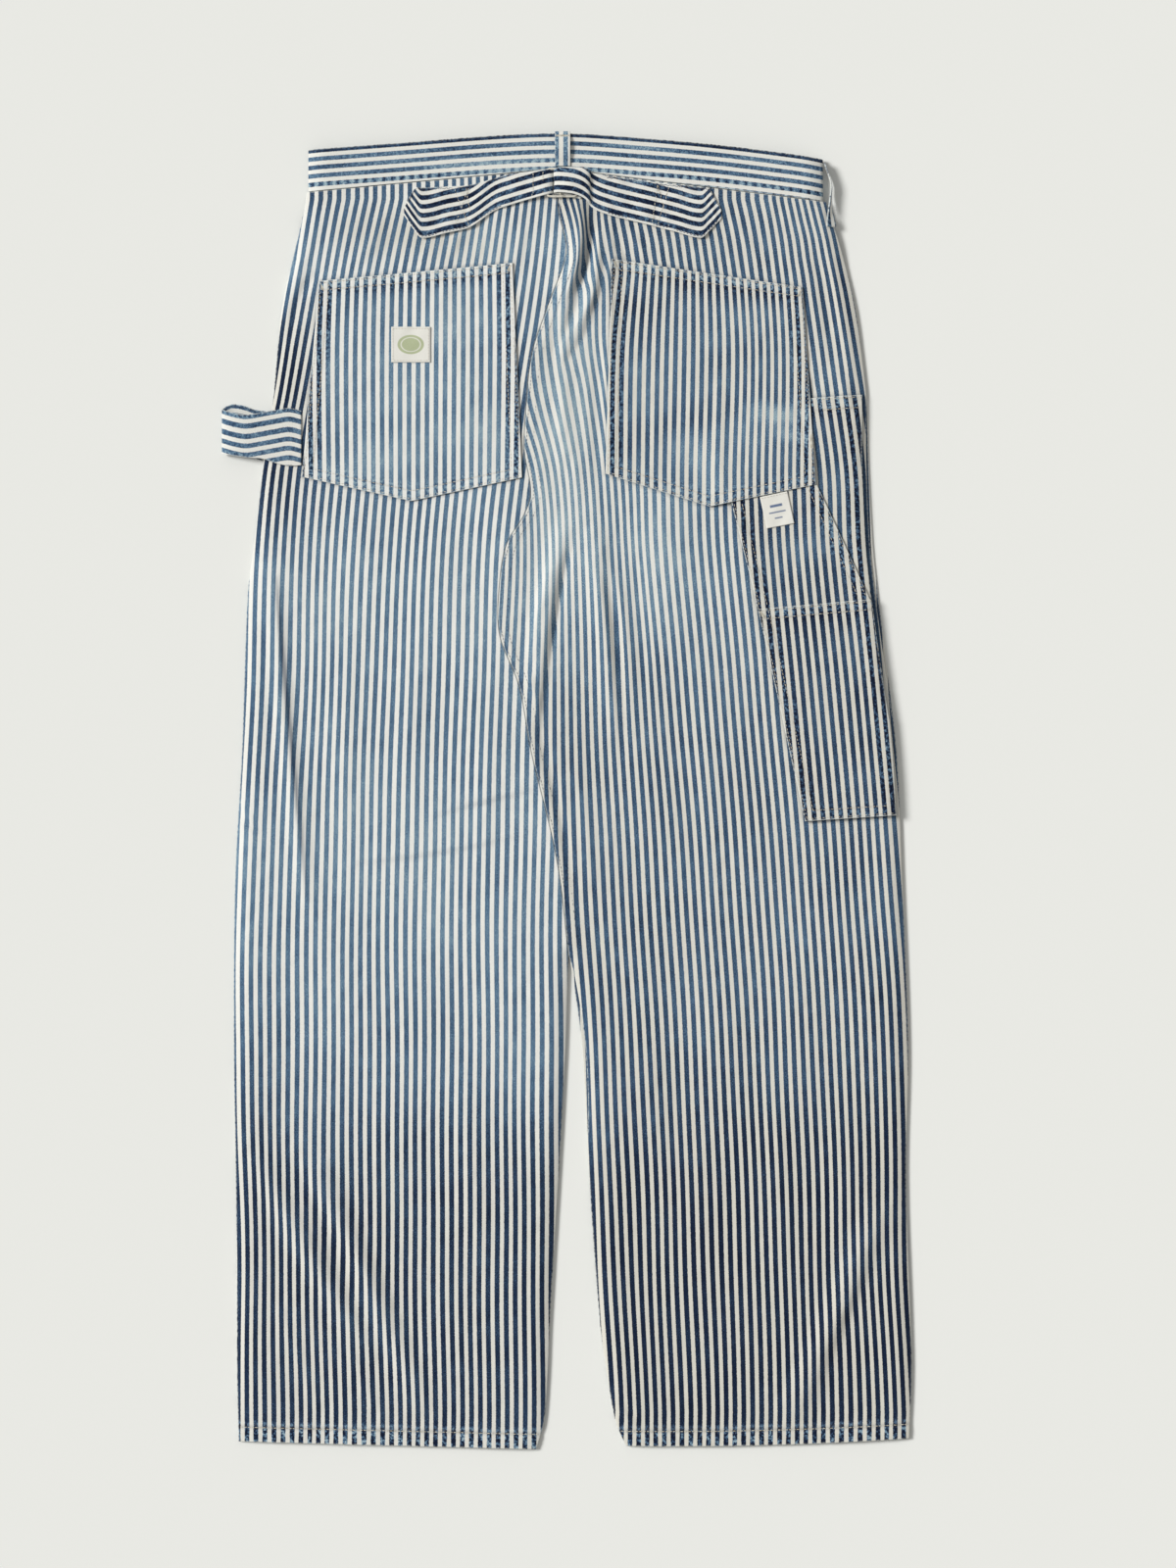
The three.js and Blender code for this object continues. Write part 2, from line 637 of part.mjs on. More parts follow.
const tabLabel = new Patch({
  left: (y) => TAB_LABEL.left + (TAB_LABEL.tipY - y) * TAB_LABEL.lean,
  right: (y) => TAB_LABEL.right + (TAB_LABEL.tipY - y) * TAB_LABEL.lean,
  top: between(TAB_LABEL.top),
  bottom: between(TAB_LABEL.bottom),
  split: even(0, 1, LABEL_STEPS),
  rows: LABEL_STEPS,
  on: [toolSlant],
  thickness: LABEL_CLOTH,
});

// Stations of the waistband, from its inner end at the front, over the back, to its outer end
function bandStations() {
  const innerZ = BAND.lowZ + BAND_CLOTH + SEAM_GAP;
  const bendRadius = BAND.foldRadius + BAND_CLOTH / 2;
  const foldX = { left: BAND.left + bendRadius, right: BAND.right - bendRadius };
  const middleZ = (BAND.lowZ + BAND.foldZ) / 2;
  const front = (x, z) => station(x, z, frontDip(x));
  const station = (x, z, dip) => [
    [x, waistSeam(x) + SEAM_GAP - dip, z],
    [x, bandTop(x) - dip, z],
  ];
  const backZ = (x) => {
    const edge = clamp(Math.min(x - foldX.left, foldX.right - x) / ROLL_WIDTH);
    return BAND.foldZ + CROWN * (1 - (1 - edge) ** 2);
  };
  const innerRun = [-BAND.overlap, BAND_SEAM.seatX, ...BAND_FRONT_INNER, foldX.right - BAND.endInset];
  const ramp = (x) => {
    const share = smooth((x - BAND.rampStart) / (BAND.rampEnd - BAND.rampStart));
    return lerp(innerZ, BAND.lowZ, share);
  };
  const arc = (centreX, side) => even(-90, 90, BAND_STEPS.fold).map((degrees) => {
    const angle = THREE.MathUtils.degToRad(side * degrees);
    return station(
      centreX + side * BAND.foldRadius * Math.cos(angle),
      middleZ + BAND.foldRadius * Math.sin(angle),
      0,
    );
  });
  const backRun = [
    ...BAND_BACK_INSETS.map((inset) => foldX.right - inset),
    ...even(foldX.right - BAND_BACK_FLAT, BAND_SEAM.seatX, BAND_STEPS.back),
    ...even(BAND_SEAM.seatX, foldX.left + BAND_BACK_FLAT, BAND_STEPS.back).slice(1),
    ...BAND_BACK_INSETS.map((inset) => foldX.left + inset).reverse(),
  ];
  const outerRun = [
    foldX.left + BAND.endInset,
    ...BAND_FRONT_OUTER,
    BAND_SEAM.seatX,
    BAND_FRONT_INNER[0],
    BAND.overlap,
  ];
  return [
    ...innerRun.map((x) => front(x, ramp(x))),
    ...arc(foldX.right, 1),
    ...backRun.map((x) => station(x, backZ(x), 0)),
    ...arc(foldX.left, -1),
    ...outerRun.map((x) => front(x, BAND.lowZ)),
  ];
}

const buttonY = (waistSeam(0) + bandTop(0)) / 2 - frontDip(0);

// A solid for cutting, from a closed geometry
function solidOf(geometry) {
  const bare = geometry.clone();
  bare.deleteAttribute('normal');
  bare.deleteAttribute('uv');
  const merged = mergeVertices(bare);
  const vertProperties = new Float32Array(merged.getAttribute('position').array);
  const triVerts = new Uint32Array(merged.getIndex().array);
  return new wasm.Manifold(new wasm.Mesh({ numProp: 3, vertProperties, triVerts }));
}

function geometryOf(solid) {
  const mesh = solid.getMesh();
  const geometry = new THREE.BufferGeometry();
  geometry.setAttribute('position', new THREE.Float32BufferAttribute(mesh.vertProperties, 3));
  geometry.setIndex([...mesh.triVerts]);
  return geometry;
}

// The strip with its buttonhole cut through the outer end
function waistband() {
  const hole = new THREE.BoxGeometry(BUTTONHOLE.length, BUTTONHOLE.width, BAND_CLOTH + SEAM_GAP);
  hole.translate(0, buttonY, BAND.lowZ);
  const strip = solidOf(ribbon(bandStations(), BAND_CLOTH));
  return geometryOf(strip.subtract(solidOf(hole)));
}

// The head lies under the outer end, and the shank goes up through the hole to the inner end
function waistButton() {
  const shankTop = BAND.lowZ + BAND_CLOTH / 2;
  const { radius, head, rim, shank } = BUTTON;
  const profile = [
    [0, 0], [radius - rim, 0], [radius, rim], [radius, head - rim], [radius - rim, head],
    [shank, head], [shank, shankTop], [0, shankTop],
  ];
  const points = profile.map(([r, z]) => new THREE.Vector2(r, z));
  const geometry = new THREE.LatheGeometry(points, BUTTON.segments);
  geometry.rotateX(Math.PI / 2);
  geometry.translate(0, buttonY, 0);
  return geometry;
}

function cinchTab(rows) {
  const stations = rows.map(({ x, low, high, lift }) => {
    const z = backTop(x, CINCH_GROUND_Y) + lift;
    return [[x, low, z], [x, high, z]];
  });
  return ribbon(stations, CLOTH);
}

// A flat wire frame with one bar across
function cinchBuckle() {
  const { left, right, bottom, top, wire, barX, lift } = BUCKLE;
  const frame = new THREE.Shape();
  frame.moveTo(left + wire, bottom);
  frame.lineTo(right - wire, bottom);
  frame.quadraticCurveTo(right, bottom, right, bottom + wire);
  frame.lineTo(right, top - wire);
  frame.quadraticCurveTo(right, top, right - wire, top);
  frame.lineTo(left + wire, top);
  frame.quadraticCurveTo(left, top, left, top - wire);
  frame.lineTo(left, bottom + wire);
  frame.quadraticCurveTo(left, bottom, left + wire, bottom);
  const options = { depth: wire, bevelEnabled: false, curveSegments: 3 };
  const outline = new THREE.ExtrudeGeometry(frame, options);
  const slotDepth = 3 * wire;
  const slot = (from, to) => {
    const box = new THREE.BoxGeometry(to - from, top - bottom - 2 * wire, slotDepth);
    return solidOf(box.translate((from + to) / 2, (bottom + top) / 2, wire / 2));
  };
  const plate = solidOf(outline)
    .subtract(slot(left + wire, barX - wire / 2))
    .subtract(slot(barX + wire / 2, right - wire));
  const geometry = geometryOf(plate);
  geometry.translate(0, 0, backTop(0, CINCH_GROUND_Y) + lift);
  return geometry;
}

function hammerLoop() {
  const middle = (HAMMER_LOOP[0].low + HAMMER_LOOP[0].high) / 2;
  const stations = HAMMER_LOOP.map(({ x, low, high, z, lean = 0 }) => [
    [x + (low - middle) * lean, low, z],
    [x + (high - middle) * lean, high, z],
  ]);
  return ribbon(stations, CLOTH);
}

function seatLoop() {
  const bandUpper = BAND.foldZ + CROWN + BAND_CLOTH / 2;
  const stations = SEAT_LOOP_PATH.map(({ y, lift }) => [
    [SEAT_LOOP.left, y, bandUpper + lift],
    [SEAT_LOOP.right, y, bandUpper + lift],
  ]);
  return ribbon(stations, CLOTH);
}

function sideLoop() {
  const stations = SIDE_LOOP_PATH.map(({ y, outer, inner }) => [
    [outer[0], y, outer[1]],
    [inner[0], y, inner[1]],
  ]);
  return ribbon(stations, CLOTH);
}

// The other side's loop, turned under with the front of the band
function hiddenLoop() {
  const { left, right, bottom, top, z, steps } = HIDDEN_LOOP;
  return ribbon(even(bottom, top, steps).map((y) => [[left, y, z], [right, y, z]]), CLOTH);
}

const garment = new THREE.Group();

function add(name, geometry, finish) {
  const mesh = new THREE.Mesh(geometry, new THREE.MeshStandardMaterial(finish));
  mesh.name = name;
  garment.add(mesh);
}

add('front_left', frontPanel(true), FINISH.deep);
add('front_right', frontPanel(false), FINISH.deep);
add('back_left', backPanel(true), FINISH.faded);
add('back_right', backPanel(false), FINISH.faded);
add('waistband', waistband(), FINISH.pocket);
add('waist_button', waistButton(), FINISH.button);
add('tool_pocket_deep', toolDeep.geometry(), FINISH.deep);
add('tool_pocket_slant', toolSlant.geometry(), FINISH.deep);
add('tool_pocket_low', toolLow.geometry(), FINISH.pocket);
add('back_pocket_left', pocketLeft.geometry(), FINISH.pocket);
add('back_pocket_right', pocketRight.geometry(), FINISH.pocket);
add('pocket_label', pocketLabel.geometry(), FINISH.label);
add('tab_label', tabLabel.geometry(), FINISH.label);
add('cinch_tab_left', cinchTab(CINCH_LEFT), FINISH.deep);
add('cinch_tab_right', cinchTab(CINCH_RIGHT), FINISH.deep);
add('cinch_buckle', cinchBuckle(), FINISH.wire);
add('hammer_loop', hammerLoop(), FINISH.deep);
add('belt_loop_seat', seatLoop(), FINISH.pocket);
add('belt_loop_right', sideLoop(), FINISH.pocket);
add('belt_loop_left', hiddenLoop(), FINISH.pocket);

export default garment;
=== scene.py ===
"""Striped work trousers, laid flat on their front with the back side up.

Sizes are in millimetres until a mesh is made. X runs to the right of the back view, Y up to the
waist and Z up from the surface. The outlines and heights are the same functions as in the part's
own solids, with finer folds, turned edges, stitching, stripes and wear added on top.
"""

import logging
import math
from collections.abc import Callable
from dataclasses import dataclass, field
from enum import Enum

import bpy
import numpy as np
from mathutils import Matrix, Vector

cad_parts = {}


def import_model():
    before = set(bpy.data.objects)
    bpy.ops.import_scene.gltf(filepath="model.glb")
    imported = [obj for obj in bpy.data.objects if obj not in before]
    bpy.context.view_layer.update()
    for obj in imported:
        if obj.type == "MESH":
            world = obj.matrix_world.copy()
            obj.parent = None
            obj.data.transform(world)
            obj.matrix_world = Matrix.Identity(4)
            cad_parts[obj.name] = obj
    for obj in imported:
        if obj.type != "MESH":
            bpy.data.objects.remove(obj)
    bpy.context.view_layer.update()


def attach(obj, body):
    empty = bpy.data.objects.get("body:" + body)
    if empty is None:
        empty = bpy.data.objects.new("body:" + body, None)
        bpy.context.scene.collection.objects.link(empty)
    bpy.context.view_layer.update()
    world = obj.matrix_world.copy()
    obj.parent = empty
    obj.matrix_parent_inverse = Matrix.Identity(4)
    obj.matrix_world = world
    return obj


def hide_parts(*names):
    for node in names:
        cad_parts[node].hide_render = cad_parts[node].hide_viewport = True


Array = np.ndarray
Field = Callable[[Array, Array], Array]
LOG = logging.getLogger("trousers")
MM = 0.001
UP = np.array([0.0, 0.0, 1.0])


# Cloth and how it lies
CLOTH = 1.2
BAND_CLOTH = 1.6
LABEL_CLOTH = 1.0
SEAM_GAP = 0.3
LAY_GAP = 0.45
CROWN = 3.5
ROLL_WIDTH = 14.0
HEM_CROWN_SHARE = 0.5
HEM_RISE_RUN = 60.0
EDGE_ROUND = 0.55
STRIPE_PITCH = 7.5
WAVE_COUNT = 8
WAVE_SPREAD = 2.6

# Outline of the legs and the seat
CROTCH_Y = -138.0
CROTCH_X = 1.5
FRONT_SEAM_RUN = 100.0
SEAT_ROWS = (2.2, 8.0)
SEAT_LAP = 10.0
END_SHARE = 8.0
PEEK_SIDE = (60.0, 330.0, 2.6)
PEEK_INNER = (-290.0, -140.0, 3.0)

# Waistband
BAND_LEFT = -216.5
BAND_RIGHT = 214.0
BAND_FOLD = 1.2
BAND_LOW_Z = 3.8
BAND_FOLD_Z = 6.2
BAND_OVERLAP = 24.0
BAND_DIP = 9.0
SEAT_X = -7.0
WAIST_LEFT_Y = 500.2
WAIST_SEAT_Y = 519.5
WAIST_RIGHT_Y = 492.3
WAIST_LIFT = BAND_LOW_Z - BAND_CLOTH / 2


def clamp(t: Array) -> Array:
    """Holds every value between none and one."""
    return np.clip(t, 0.0, 1.0)


def smooth(t: Array) -> Array:
    """Eases from none to one, level at both ends."""
    t = clamp(t)
    return t * t * (3 - 2 * t)


def lerp(low: Array, high: Array, t: Array) -> Array:
    """The value a share of the way from low to high."""
    return low + (high - low) * t


def bump(distance: Array, width: float) -> Array:
    """A soft bell: one at no distance, nearly none at one width."""
    return np.exp(-((distance / (0.6 * width)) ** 2))


@dataclass(frozen=True)
class Track:
    """A smooth curve through the pairs of a short table."""

    rows: tuple[tuple[float, float], ...]

    def __call__(self, place: Array) -> Array:
        """Cubic between two rows, with the mean slope of the neighbours at each row.

        Args:
            place: where to read the curve, along the table's first column.

        Returns:
            The curve's value at each place, held level past both ends.
        """
        at, value = np.array(self.rows, float).T
        each = np.arange(len(at))
        before = np.maximum(each - 1, 0)
        after = np.minimum(each + 1, len(at) - 1)
        slope = (value[after] - value[before]) / (at[after] - at[before])
        i = np.clip(np.searchsorted(at, place) - 1, 0, len(at) - 2)
        span = at[i + 1] - at[i]
        t = clamp((place - at[i]) / span)
        leave = t * (1 - t) ** 2 * span * slope[i]
        arrive = t * t * (t - 1) * span * slope[i + 1]
        return lerp(value[i], value[i + 1], smooth(t)) + leave + arrive


@dataclass(frozen=True)
class StripeMap:
    """Where some numbered dark stripes run: each row is a height and the x of every number."""

    numbers: tuple[float, ...]
    rows: tuple[tuple[float, ...], ...]

    def __call__(self, x: Array, y: Array) -> Array:
        """Counts stripes across the cloth, evenly between the two nearest numbered ones."""
        heights = [row[0] for row in self.rows]
        tracks = [
            Track(tuple(zip(heights, column)))(y)
            for column in list(zip(*self.rows))[1:]
        ]
        places = np.stack(tracks, axis=-1)
        i = np.clip((places <= x[..., None]).sum(-1) - 1, 0, len(self.numbers) - 2)
        low = np.take_along_axis(places, i[..., None], -1)[..., 0]
        high = np.take_along_axis(places, i[..., None] + 1, -1)[..., 0]
        number = np.array(self.numbers)
        return lerp(number[i], number[i + 1], (x - low) / (high - low))


@dataclass(frozen=True)
class Crease:
    """A soft ridge, or a trough where its height is below none, along a bent line."""

    start: tuple[float, float]
    bend: tuple[float, float]
    end: tuple[float, float]
    height: float
    reach: float
    fullness: float = 0.6
    lean: float = 0.0

    def __call__(self, x: Array, y: Array) -> Array:
        """A squared cosine across the line, which fades out along it towards both ends.

        Args:
            x, y: points on the cloth.

        Returns:
            The height that the crease adds at each point.
        """
        start, bend, end = np.array([self.start, self.bend, self.end])
        pull = 2 * bend - (start + end) / 2
        t = np.linspace(0, 1, 25)[:, None]
        line = (1 - t) ** 2 * start + 2 * t * (1 - t) * pull + t * t * end
        height = np.zeros(x.shape)
        low, high = line.min(0) - self.reach, line.max(0) + self.reach
        near = (x > low[0]) & (x < high[0]) & (y > low[1]) & (y < high[1])
        if not near.any():
            return height
        point = np.stack([x[near], y[near]], -1)[:, None]
        step = line[1:] - line[:-1]
        share = clamp(((point - line[:-1]) * step).sum(-1) / (step**2).sum(-1))
        offset = point - line[:-1] - share[..., None] * step
        distance = np.hypot(offset[..., 0], offset[..., 1])
        k = distance.argmin(1)
        pick = np.arange(len(k))
        along = (k + share[pick, k]) / len(step)
        side = np.sign(step[k, 0] * offset[pick, k, 1] - step[k, 1] * offset[pick, k, 0])
        apart = distance[pick, k] / self.reach
        apart = clamp(apart * (1 + self.lean * side))
        ends = np.sin(math.pi * clamp(along)) ** self.fullness
        height[near] = self.height * np.cos(math.pi / 2 * apart) ** 2 * ends
        return height


def creases(*rows: tuple[float, ...]) -> tuple[Crease, ...]:
    """Makes creases from rows: x and y of start, bend and end, then height, reach and the rest."""
    return tuple(Crease(row[:2], row[2:4], row[4:6], *row[6:]) for row in rows)


@dataclass(frozen=True)
class Wash:
    """How faded the dye is: a curve by height, and soft strokes with more or less fading."""

    by_height: Track
    strokes: tuple[Crease, ...]

    def __call__(self, x: Array, y: Array) -> Array:
        """The curve and all strokes together."""
        return self.by_height(y) + sum(stroke(x, y) for stroke in self.strokes)


def waves(x: Array, y: Array, length: float, seed: int, stretch: float = 1.0) -> Array:
    """Uneven smooth waves: a sum of sines in seeded directions.

    Args:
        x, y: points on the cloth.
        length: the usual length of a wave.
        seed: picks the directions and phases.
        stretch: how much longer the waves are along y.

    Returns:
        Values that mostly lie between minus one and one.
    """
    rng = np.random.default_rng(seed)
    angle = rng.uniform(0, 2 * math.pi, WAVE_COUNT)
    rate = 2 * math.pi / (length * rng.uniform(0.65, 1.7, WAVE_COUNT))
    phase = rng.uniform(0, 2 * math.pi, WAVE_COUNT)
    ahead = x[..., None] * np.cos(angle) + y[..., None] * np.sin(angle) / stretch
    return np.sin(ahead * rate + phase).sum(-1) / WAVE_SPREAD


SIDE_LEFT = Track((
    (-545, -274.5), (-486, -276), (-445, -276), (-322, -277), (-216, -278.6), (-76, -277.6),
    (34, -271.8), (129, -268.6), (170, -266.5), (207, -261.6), (284, -252.6), (321, -246.5),
    (366, -242.3), (405, -238.2), (451, -228), (480, -221), (502, -217),
))
SIDE_RIGHT = Track((
    (-545, 286), (-486, 288.3), (-445, 287.5), (-322, 283.5), (-216, 285.4), (-76, 280.5),
    (34, 275.5), (129, 264.5), (170, 259.5), (207, 255.8), (284, 252), (321, 251.2),
    (366, 246.4), (405, 241), (451, 230), (480, 220.5), (502, 214),
))
INSEAM_LEFT = Track((
    (-550, -25.5), (-540, -22.5), (-527, -19), (-486, -16), (-445, -14.4), (-322, -7),
    (-216, -1.2), (-158, 0.6), (CROTCH_Y, 1.35),
))
INSEAM_RIGHT = Track((
    (-550, 50.5), (-540, 45.5), (-527, 40.5), (-486, 33), (-445, 27.5), (-322, 18.5),
    (-216, 12.7), (-158, 5.3), (CROTCH_Y, 1.65),
))
SEAT_SEAM = Track((
    (CROTCH_Y, CROTCH_X), (-76, -5.3), (-35, -13), (34, -30), (88, -40), (130, -56), (170, -56.5),
    (207, -50), (230, -36), (249, -30), (285, -35.5), (321, -34), (366, -29), (405, -16),
    (451, -0.5), (486, -7), (520, -7),
))
BAND_TOP = Track((
    (-216, 535.5), (-138, 541.2), (-56, 547.3), (0, 549), (59, 545.3), (124, 539.6),
    (190, 531.4), (214, 527.5),
))

# The large folds, which the solids have too
FOLDS = creases(
    (6, 492, 8, 440, -12, 370, 5.0, 10, 0.6, 0.3), (26, 470, 20, 410, -6, 360, 4.0, 8, 0.6, 0.3),
    (-2, 222, -17, 146, -27, 52, 4.5, 13, 0.6, 0.25),
    (25, 222, 31, 140, 42, 40, 3.5, 12, 0.6, 0.25), (-246, 190, -235, 46, -213, -100, 3.0, 13),
    (-262, -304, -214, -390, -160, -476, 4.5, 17), (-214, -308, -168, -408, -116, -522, 5.0, 18),
    (266, -342, 225, -440, 184, -530, 4.5, 19),
)

# Finer creases, puckers and press marks
CREASES = creases(
    (8, 496, 12, 456, -5, 408, 1.6, 6), (20, 494, 18.5, 452, 0, 404, -4.0, 6.5),
    (30, 424, 17, 396, -4, 366, -1.4, 5), (-10, 396, -11, 378, -13, 352, -1.5, 5),
    (2, 398, -2, 372, -8, 340, 1.0, 6), (34, 478, 36, 440, 28, 404, 1.6, 7),
    (43, 460, 48, 448, 56, 440, -1.3, 4), (55, 470, 60, 456, 67, 446, 1.1, 5),
    (2, 360, -4, 318, -2, 262, 1.4, 9), (26, 372, 25, 310, 26, 250, -1.5, 8),
    (4, 206, -9, 148, -21, 60, -2.4, 5), (-12, 190, -24, 150, -31, 110, 1.4, 6),
    (20, 206, 40, 134, 46, 20, -1.3, 7), (36, 190, 48, 140, 52, 60, 1.2, 6),
    (56, 200, 62, 120, 60, 40, -0.9, 8), (-26, 58, -8, -12, 6, -92, -1.8, 6),
    (-34, 100, -28, 84, -22, 62, 1.6, 4.5), (6, 20, 16, -30, 18, -90, 1.1, 8),
    (-84, 482, -92, 462, -98, 444, 1.0, 6), (-112, 478, -120, 462, -124, 446, -0.8, 6),
    (-150, 486, -162, 460, -176, 440, 1.0, 8), (140, 476, 150, 458, 164, 440, 0.9, 8),
    (100, 456, 112, 448, 128, 442, 0.8, 5), (-276, -6, -269, -18, -260, -28, 1.1, 5),
    (-272, -24, -262, -33, -252, -36, -0.9, 4), (-122, 22, -72, 14, -20, 3, 0.7, 7),
    (-112, -8, -66, -13, -28, -17, -0.6, 6), (-104, 2, -60, -2, -24, -6, 0.5, 5),
    (213, 473, 229, 402, 239, 336, 1.1, 9), (206, 452, 217, 400, 222, 352, -0.9, 7),
    (36, -14, 42, -15, 50, -14, 0.9, 4), (26, -28, 32, -31, 40, -31, 0.8, 4),
    (6, -80, 12, -82, 20, -80, 0.8, 4), (2, -108, 6, -111, 14, -109, 0.7, 4),
    (30, -512, 40, -528, 58, -540, 1.5, 6), (44, -508, 56, -524, 70, -534, -1.0, 5),
    (-206, 436, -224, 412, -232, 376, -1.8, 7), (-214, 452, -232, 424, -238, 392, 1.3, 8),
    (-36, 472, -41, 452, -44, 430, 0.9, 8), (-74, 458, -80, 440, -84, 420, 0.6, 9),
    (126, 352, 128, 290, 124, 240, 0.9, 9), (70, 350, 74, 300, 70, 262, 0.6, 9),
    (226, 348, 232, 334, 238, 318, 0.9, 5), (236, 352, 240, 336, 243, 318, -0.7, 4),
    (42, 452, 36, 400, 34, 320, 1.6, 8), (60, 478, 72, 462, 96, 452, 0.8, 8),
    (2, 330, 4, 290, 10, 248, 0.9, 9), (-22, 300, -20, 262, -12, 228, 0.9, 8),
    (-60, 60, -70, -10, -66, -90, 0.7, 14), (-180, 120, -186, 10, -176, -120, 0.8, 16),
    (-120, 150, -132, 60, -128, -40, 0.6, 14), (110, 60, 120, -40, 122, -150, 0.7, 15),
    (60, -180, 76, -300, 80, -420, 0.8, 16), (160, -180, 176, -290, 178, -400, 0.7, 15),
    (-90, -220, -80, -330, -60, -430, 0.8, 16), (262, -378, 236, -440, 214, -492, -1.4, 9),
    (-236, -300, -196, -372, -158, -440, -1.3, 9), (-196, -440, -172, -490, -150, -530, 0.9, 9),
    (-250, -420, -226, -470, -206, -520, 0.8, 9),
)


class Lay:
    """The lines and heights of the laid garment. Every method takes and gives arrays."""

    @staticmethod
    def peek(stretch: tuple[float, float, float], y: Array) -> Array:
        """How far the front's edge stands past the back's: the root of a half sine along it."""
        start, end, width = stretch
        return width * np.sin(math.pi * clamp((y - start) / (end - start))) ** 0.5

    def back_side_right(self, y: Array) -> Array:
        """The back's right-hand side edge."""
        return SIDE_RIGHT(y) - self.peek(PEEK_SIDE, y)

    def front_seam(self, y: Array) -> Array:
        """The centre front seam, eased from the crotch to the middle of the waist."""
        return lerp(CROTCH_X, 0.0, smooth((y - CROTCH_Y) / FRONT_SEAM_RUN))

    def inner(self, y: Array, is_left: bool, is_back: bool) -> Array:
        """A panel's inner edge: the inner leg below the crotch, and the seam above it.

        Args:
            y: heights along the edge.
            is_left: whether the panel is on the left of the back view.
            is_back: whether it is one of the backs.

        Returns:
            The edge's x at each height.
        """
        seam = SEAT_SEAM(y) if is_back else self.front_seam(y)
        if is_left:
            return np.where(y < CROTCH_Y, INSEAM_LEFT(y), seam - SEAM_GAP / 2)
        leg = INSEAM_RIGHT(y) + (self.peek(PEEK_INNER, y) if is_back else 0.0)
        return np.where(y < CROTCH_Y, leg, seam + SEAM_GAP / 2)

    def waist_seam(self, x: Array) -> Array:
        """The seam under the band: two straight lines that meet at the seat seam."""
        left = lerp(WAIST_LEFT_Y, WAIST_SEAT_Y, (x - BAND_LEFT) / (SEAT_X - BAND_LEFT))
        right = lerp(WAIST_SEAT_Y, WAIST_RIGHT_Y, (x - SEAT_X) / (BAND_RIGHT - SEAT_X))
        return np.where(x < SEAT_X, left, right)

    def front_dip(self, x: Array) -> Array:
        """How much lower the front waist lies: a parabola, most at its middle."""
        return BAND_DIP * (1 - (x / BAND_RIGHT) ** 2)

    def waist_lift(self, x: Array, y: Array) -> Array:
        """The cloth eases up by the waist to meet the band, which stands on its button."""
        return WAIST_LIFT * smooth((y - self.waist_seam(x) + 60) / 45)

    def seat_ridge(self, x: Array, y: Array) -> Array:
        """The lapped seat seam: a low flat ridge right of the seam, drawn in along two rows."""
        off = x - SEAT_SEAM(y)
        rise = smooth(off / 0.8)
        ridge = 0.45 * rise * smooth((SEAT_LAP - off) / 1.6)
        rows = 0.3 * sum(bump(off - row, 1.2) for row in SEAT_ROWS)
        beside = smooth((SEAT_LAP + 1 - off) / 3)
        pull = 0.16 * np.sin(y / 1.15 + 2 * np.sin(y / 17)) * rise * beside
        return np.where((y > CROTCH_Y) & (off > 0), ridge - rows + pull, 0.0)

    def drape(self, x: Array, y: Array) -> Array:
        """Height of all folds and creases."""
        return sum(crease(x, y) for crease in FOLDS + CREASES)

    def drawn(self, x: Array, y: Array) -> Array:
        """How far the stripes shift: the cloth is drawn in towards every ridge, by its slope."""
        slope = (self.drape(x + 1.5, y) - self.drape(x - 1.5, y)) / 3.0
        pull = np.where(y < CROTCH_Y, 0.7, 1.2)
        return pull * np.tanh(slope) + 0.35 * waves(x, y, 75, 33, 3.0)

    def back_top(self, x: Array, y: Array) -> Array:
        """Height of the back's upper side: two layers, a crown that rolls off, and the folds.

        Args:
            x, y: points on the back.

        Returns:
            The height at each point.
        """
        below = y < CROTCH_Y
        middle = np.where(below, (INSEAM_LEFT(y) + INSEAM_RIGHT(y)) / 2, SEAT_SEAM(y))
        to_left = self.inner(y, True, True) - x
        to_right = x - self.inner(y, False, True)
        to_side = np.minimum(x - SIDE_LEFT(y), self.back_side_right(y) - x)
        to_inner = np.where(x < middle, to_left, to_right) + np.maximum(0.0, y - CROTCH_Y)
        roll = 1 - (1 - clamp(np.minimum(to_side, to_inner) / ROLL_WIDTH)) ** 2
        hem = lerp(HEM_CROWN_SHARE, 1.0, smooth((y + 544) / HEM_RISE_RUN))
        raised = CROWN * hem + self.drape(x, y)
        fine = self.seat_ridge(x, y) + 0.4 * waves(x, y, 46, 3, 2.2) + 0.1 * waves(x, y, 13, 8, 1.6)
        return self.waist_lift(x, y) + 2 * CLOTH + SEAM_GAP + (raised + fine) * roll


LAY = Lay()


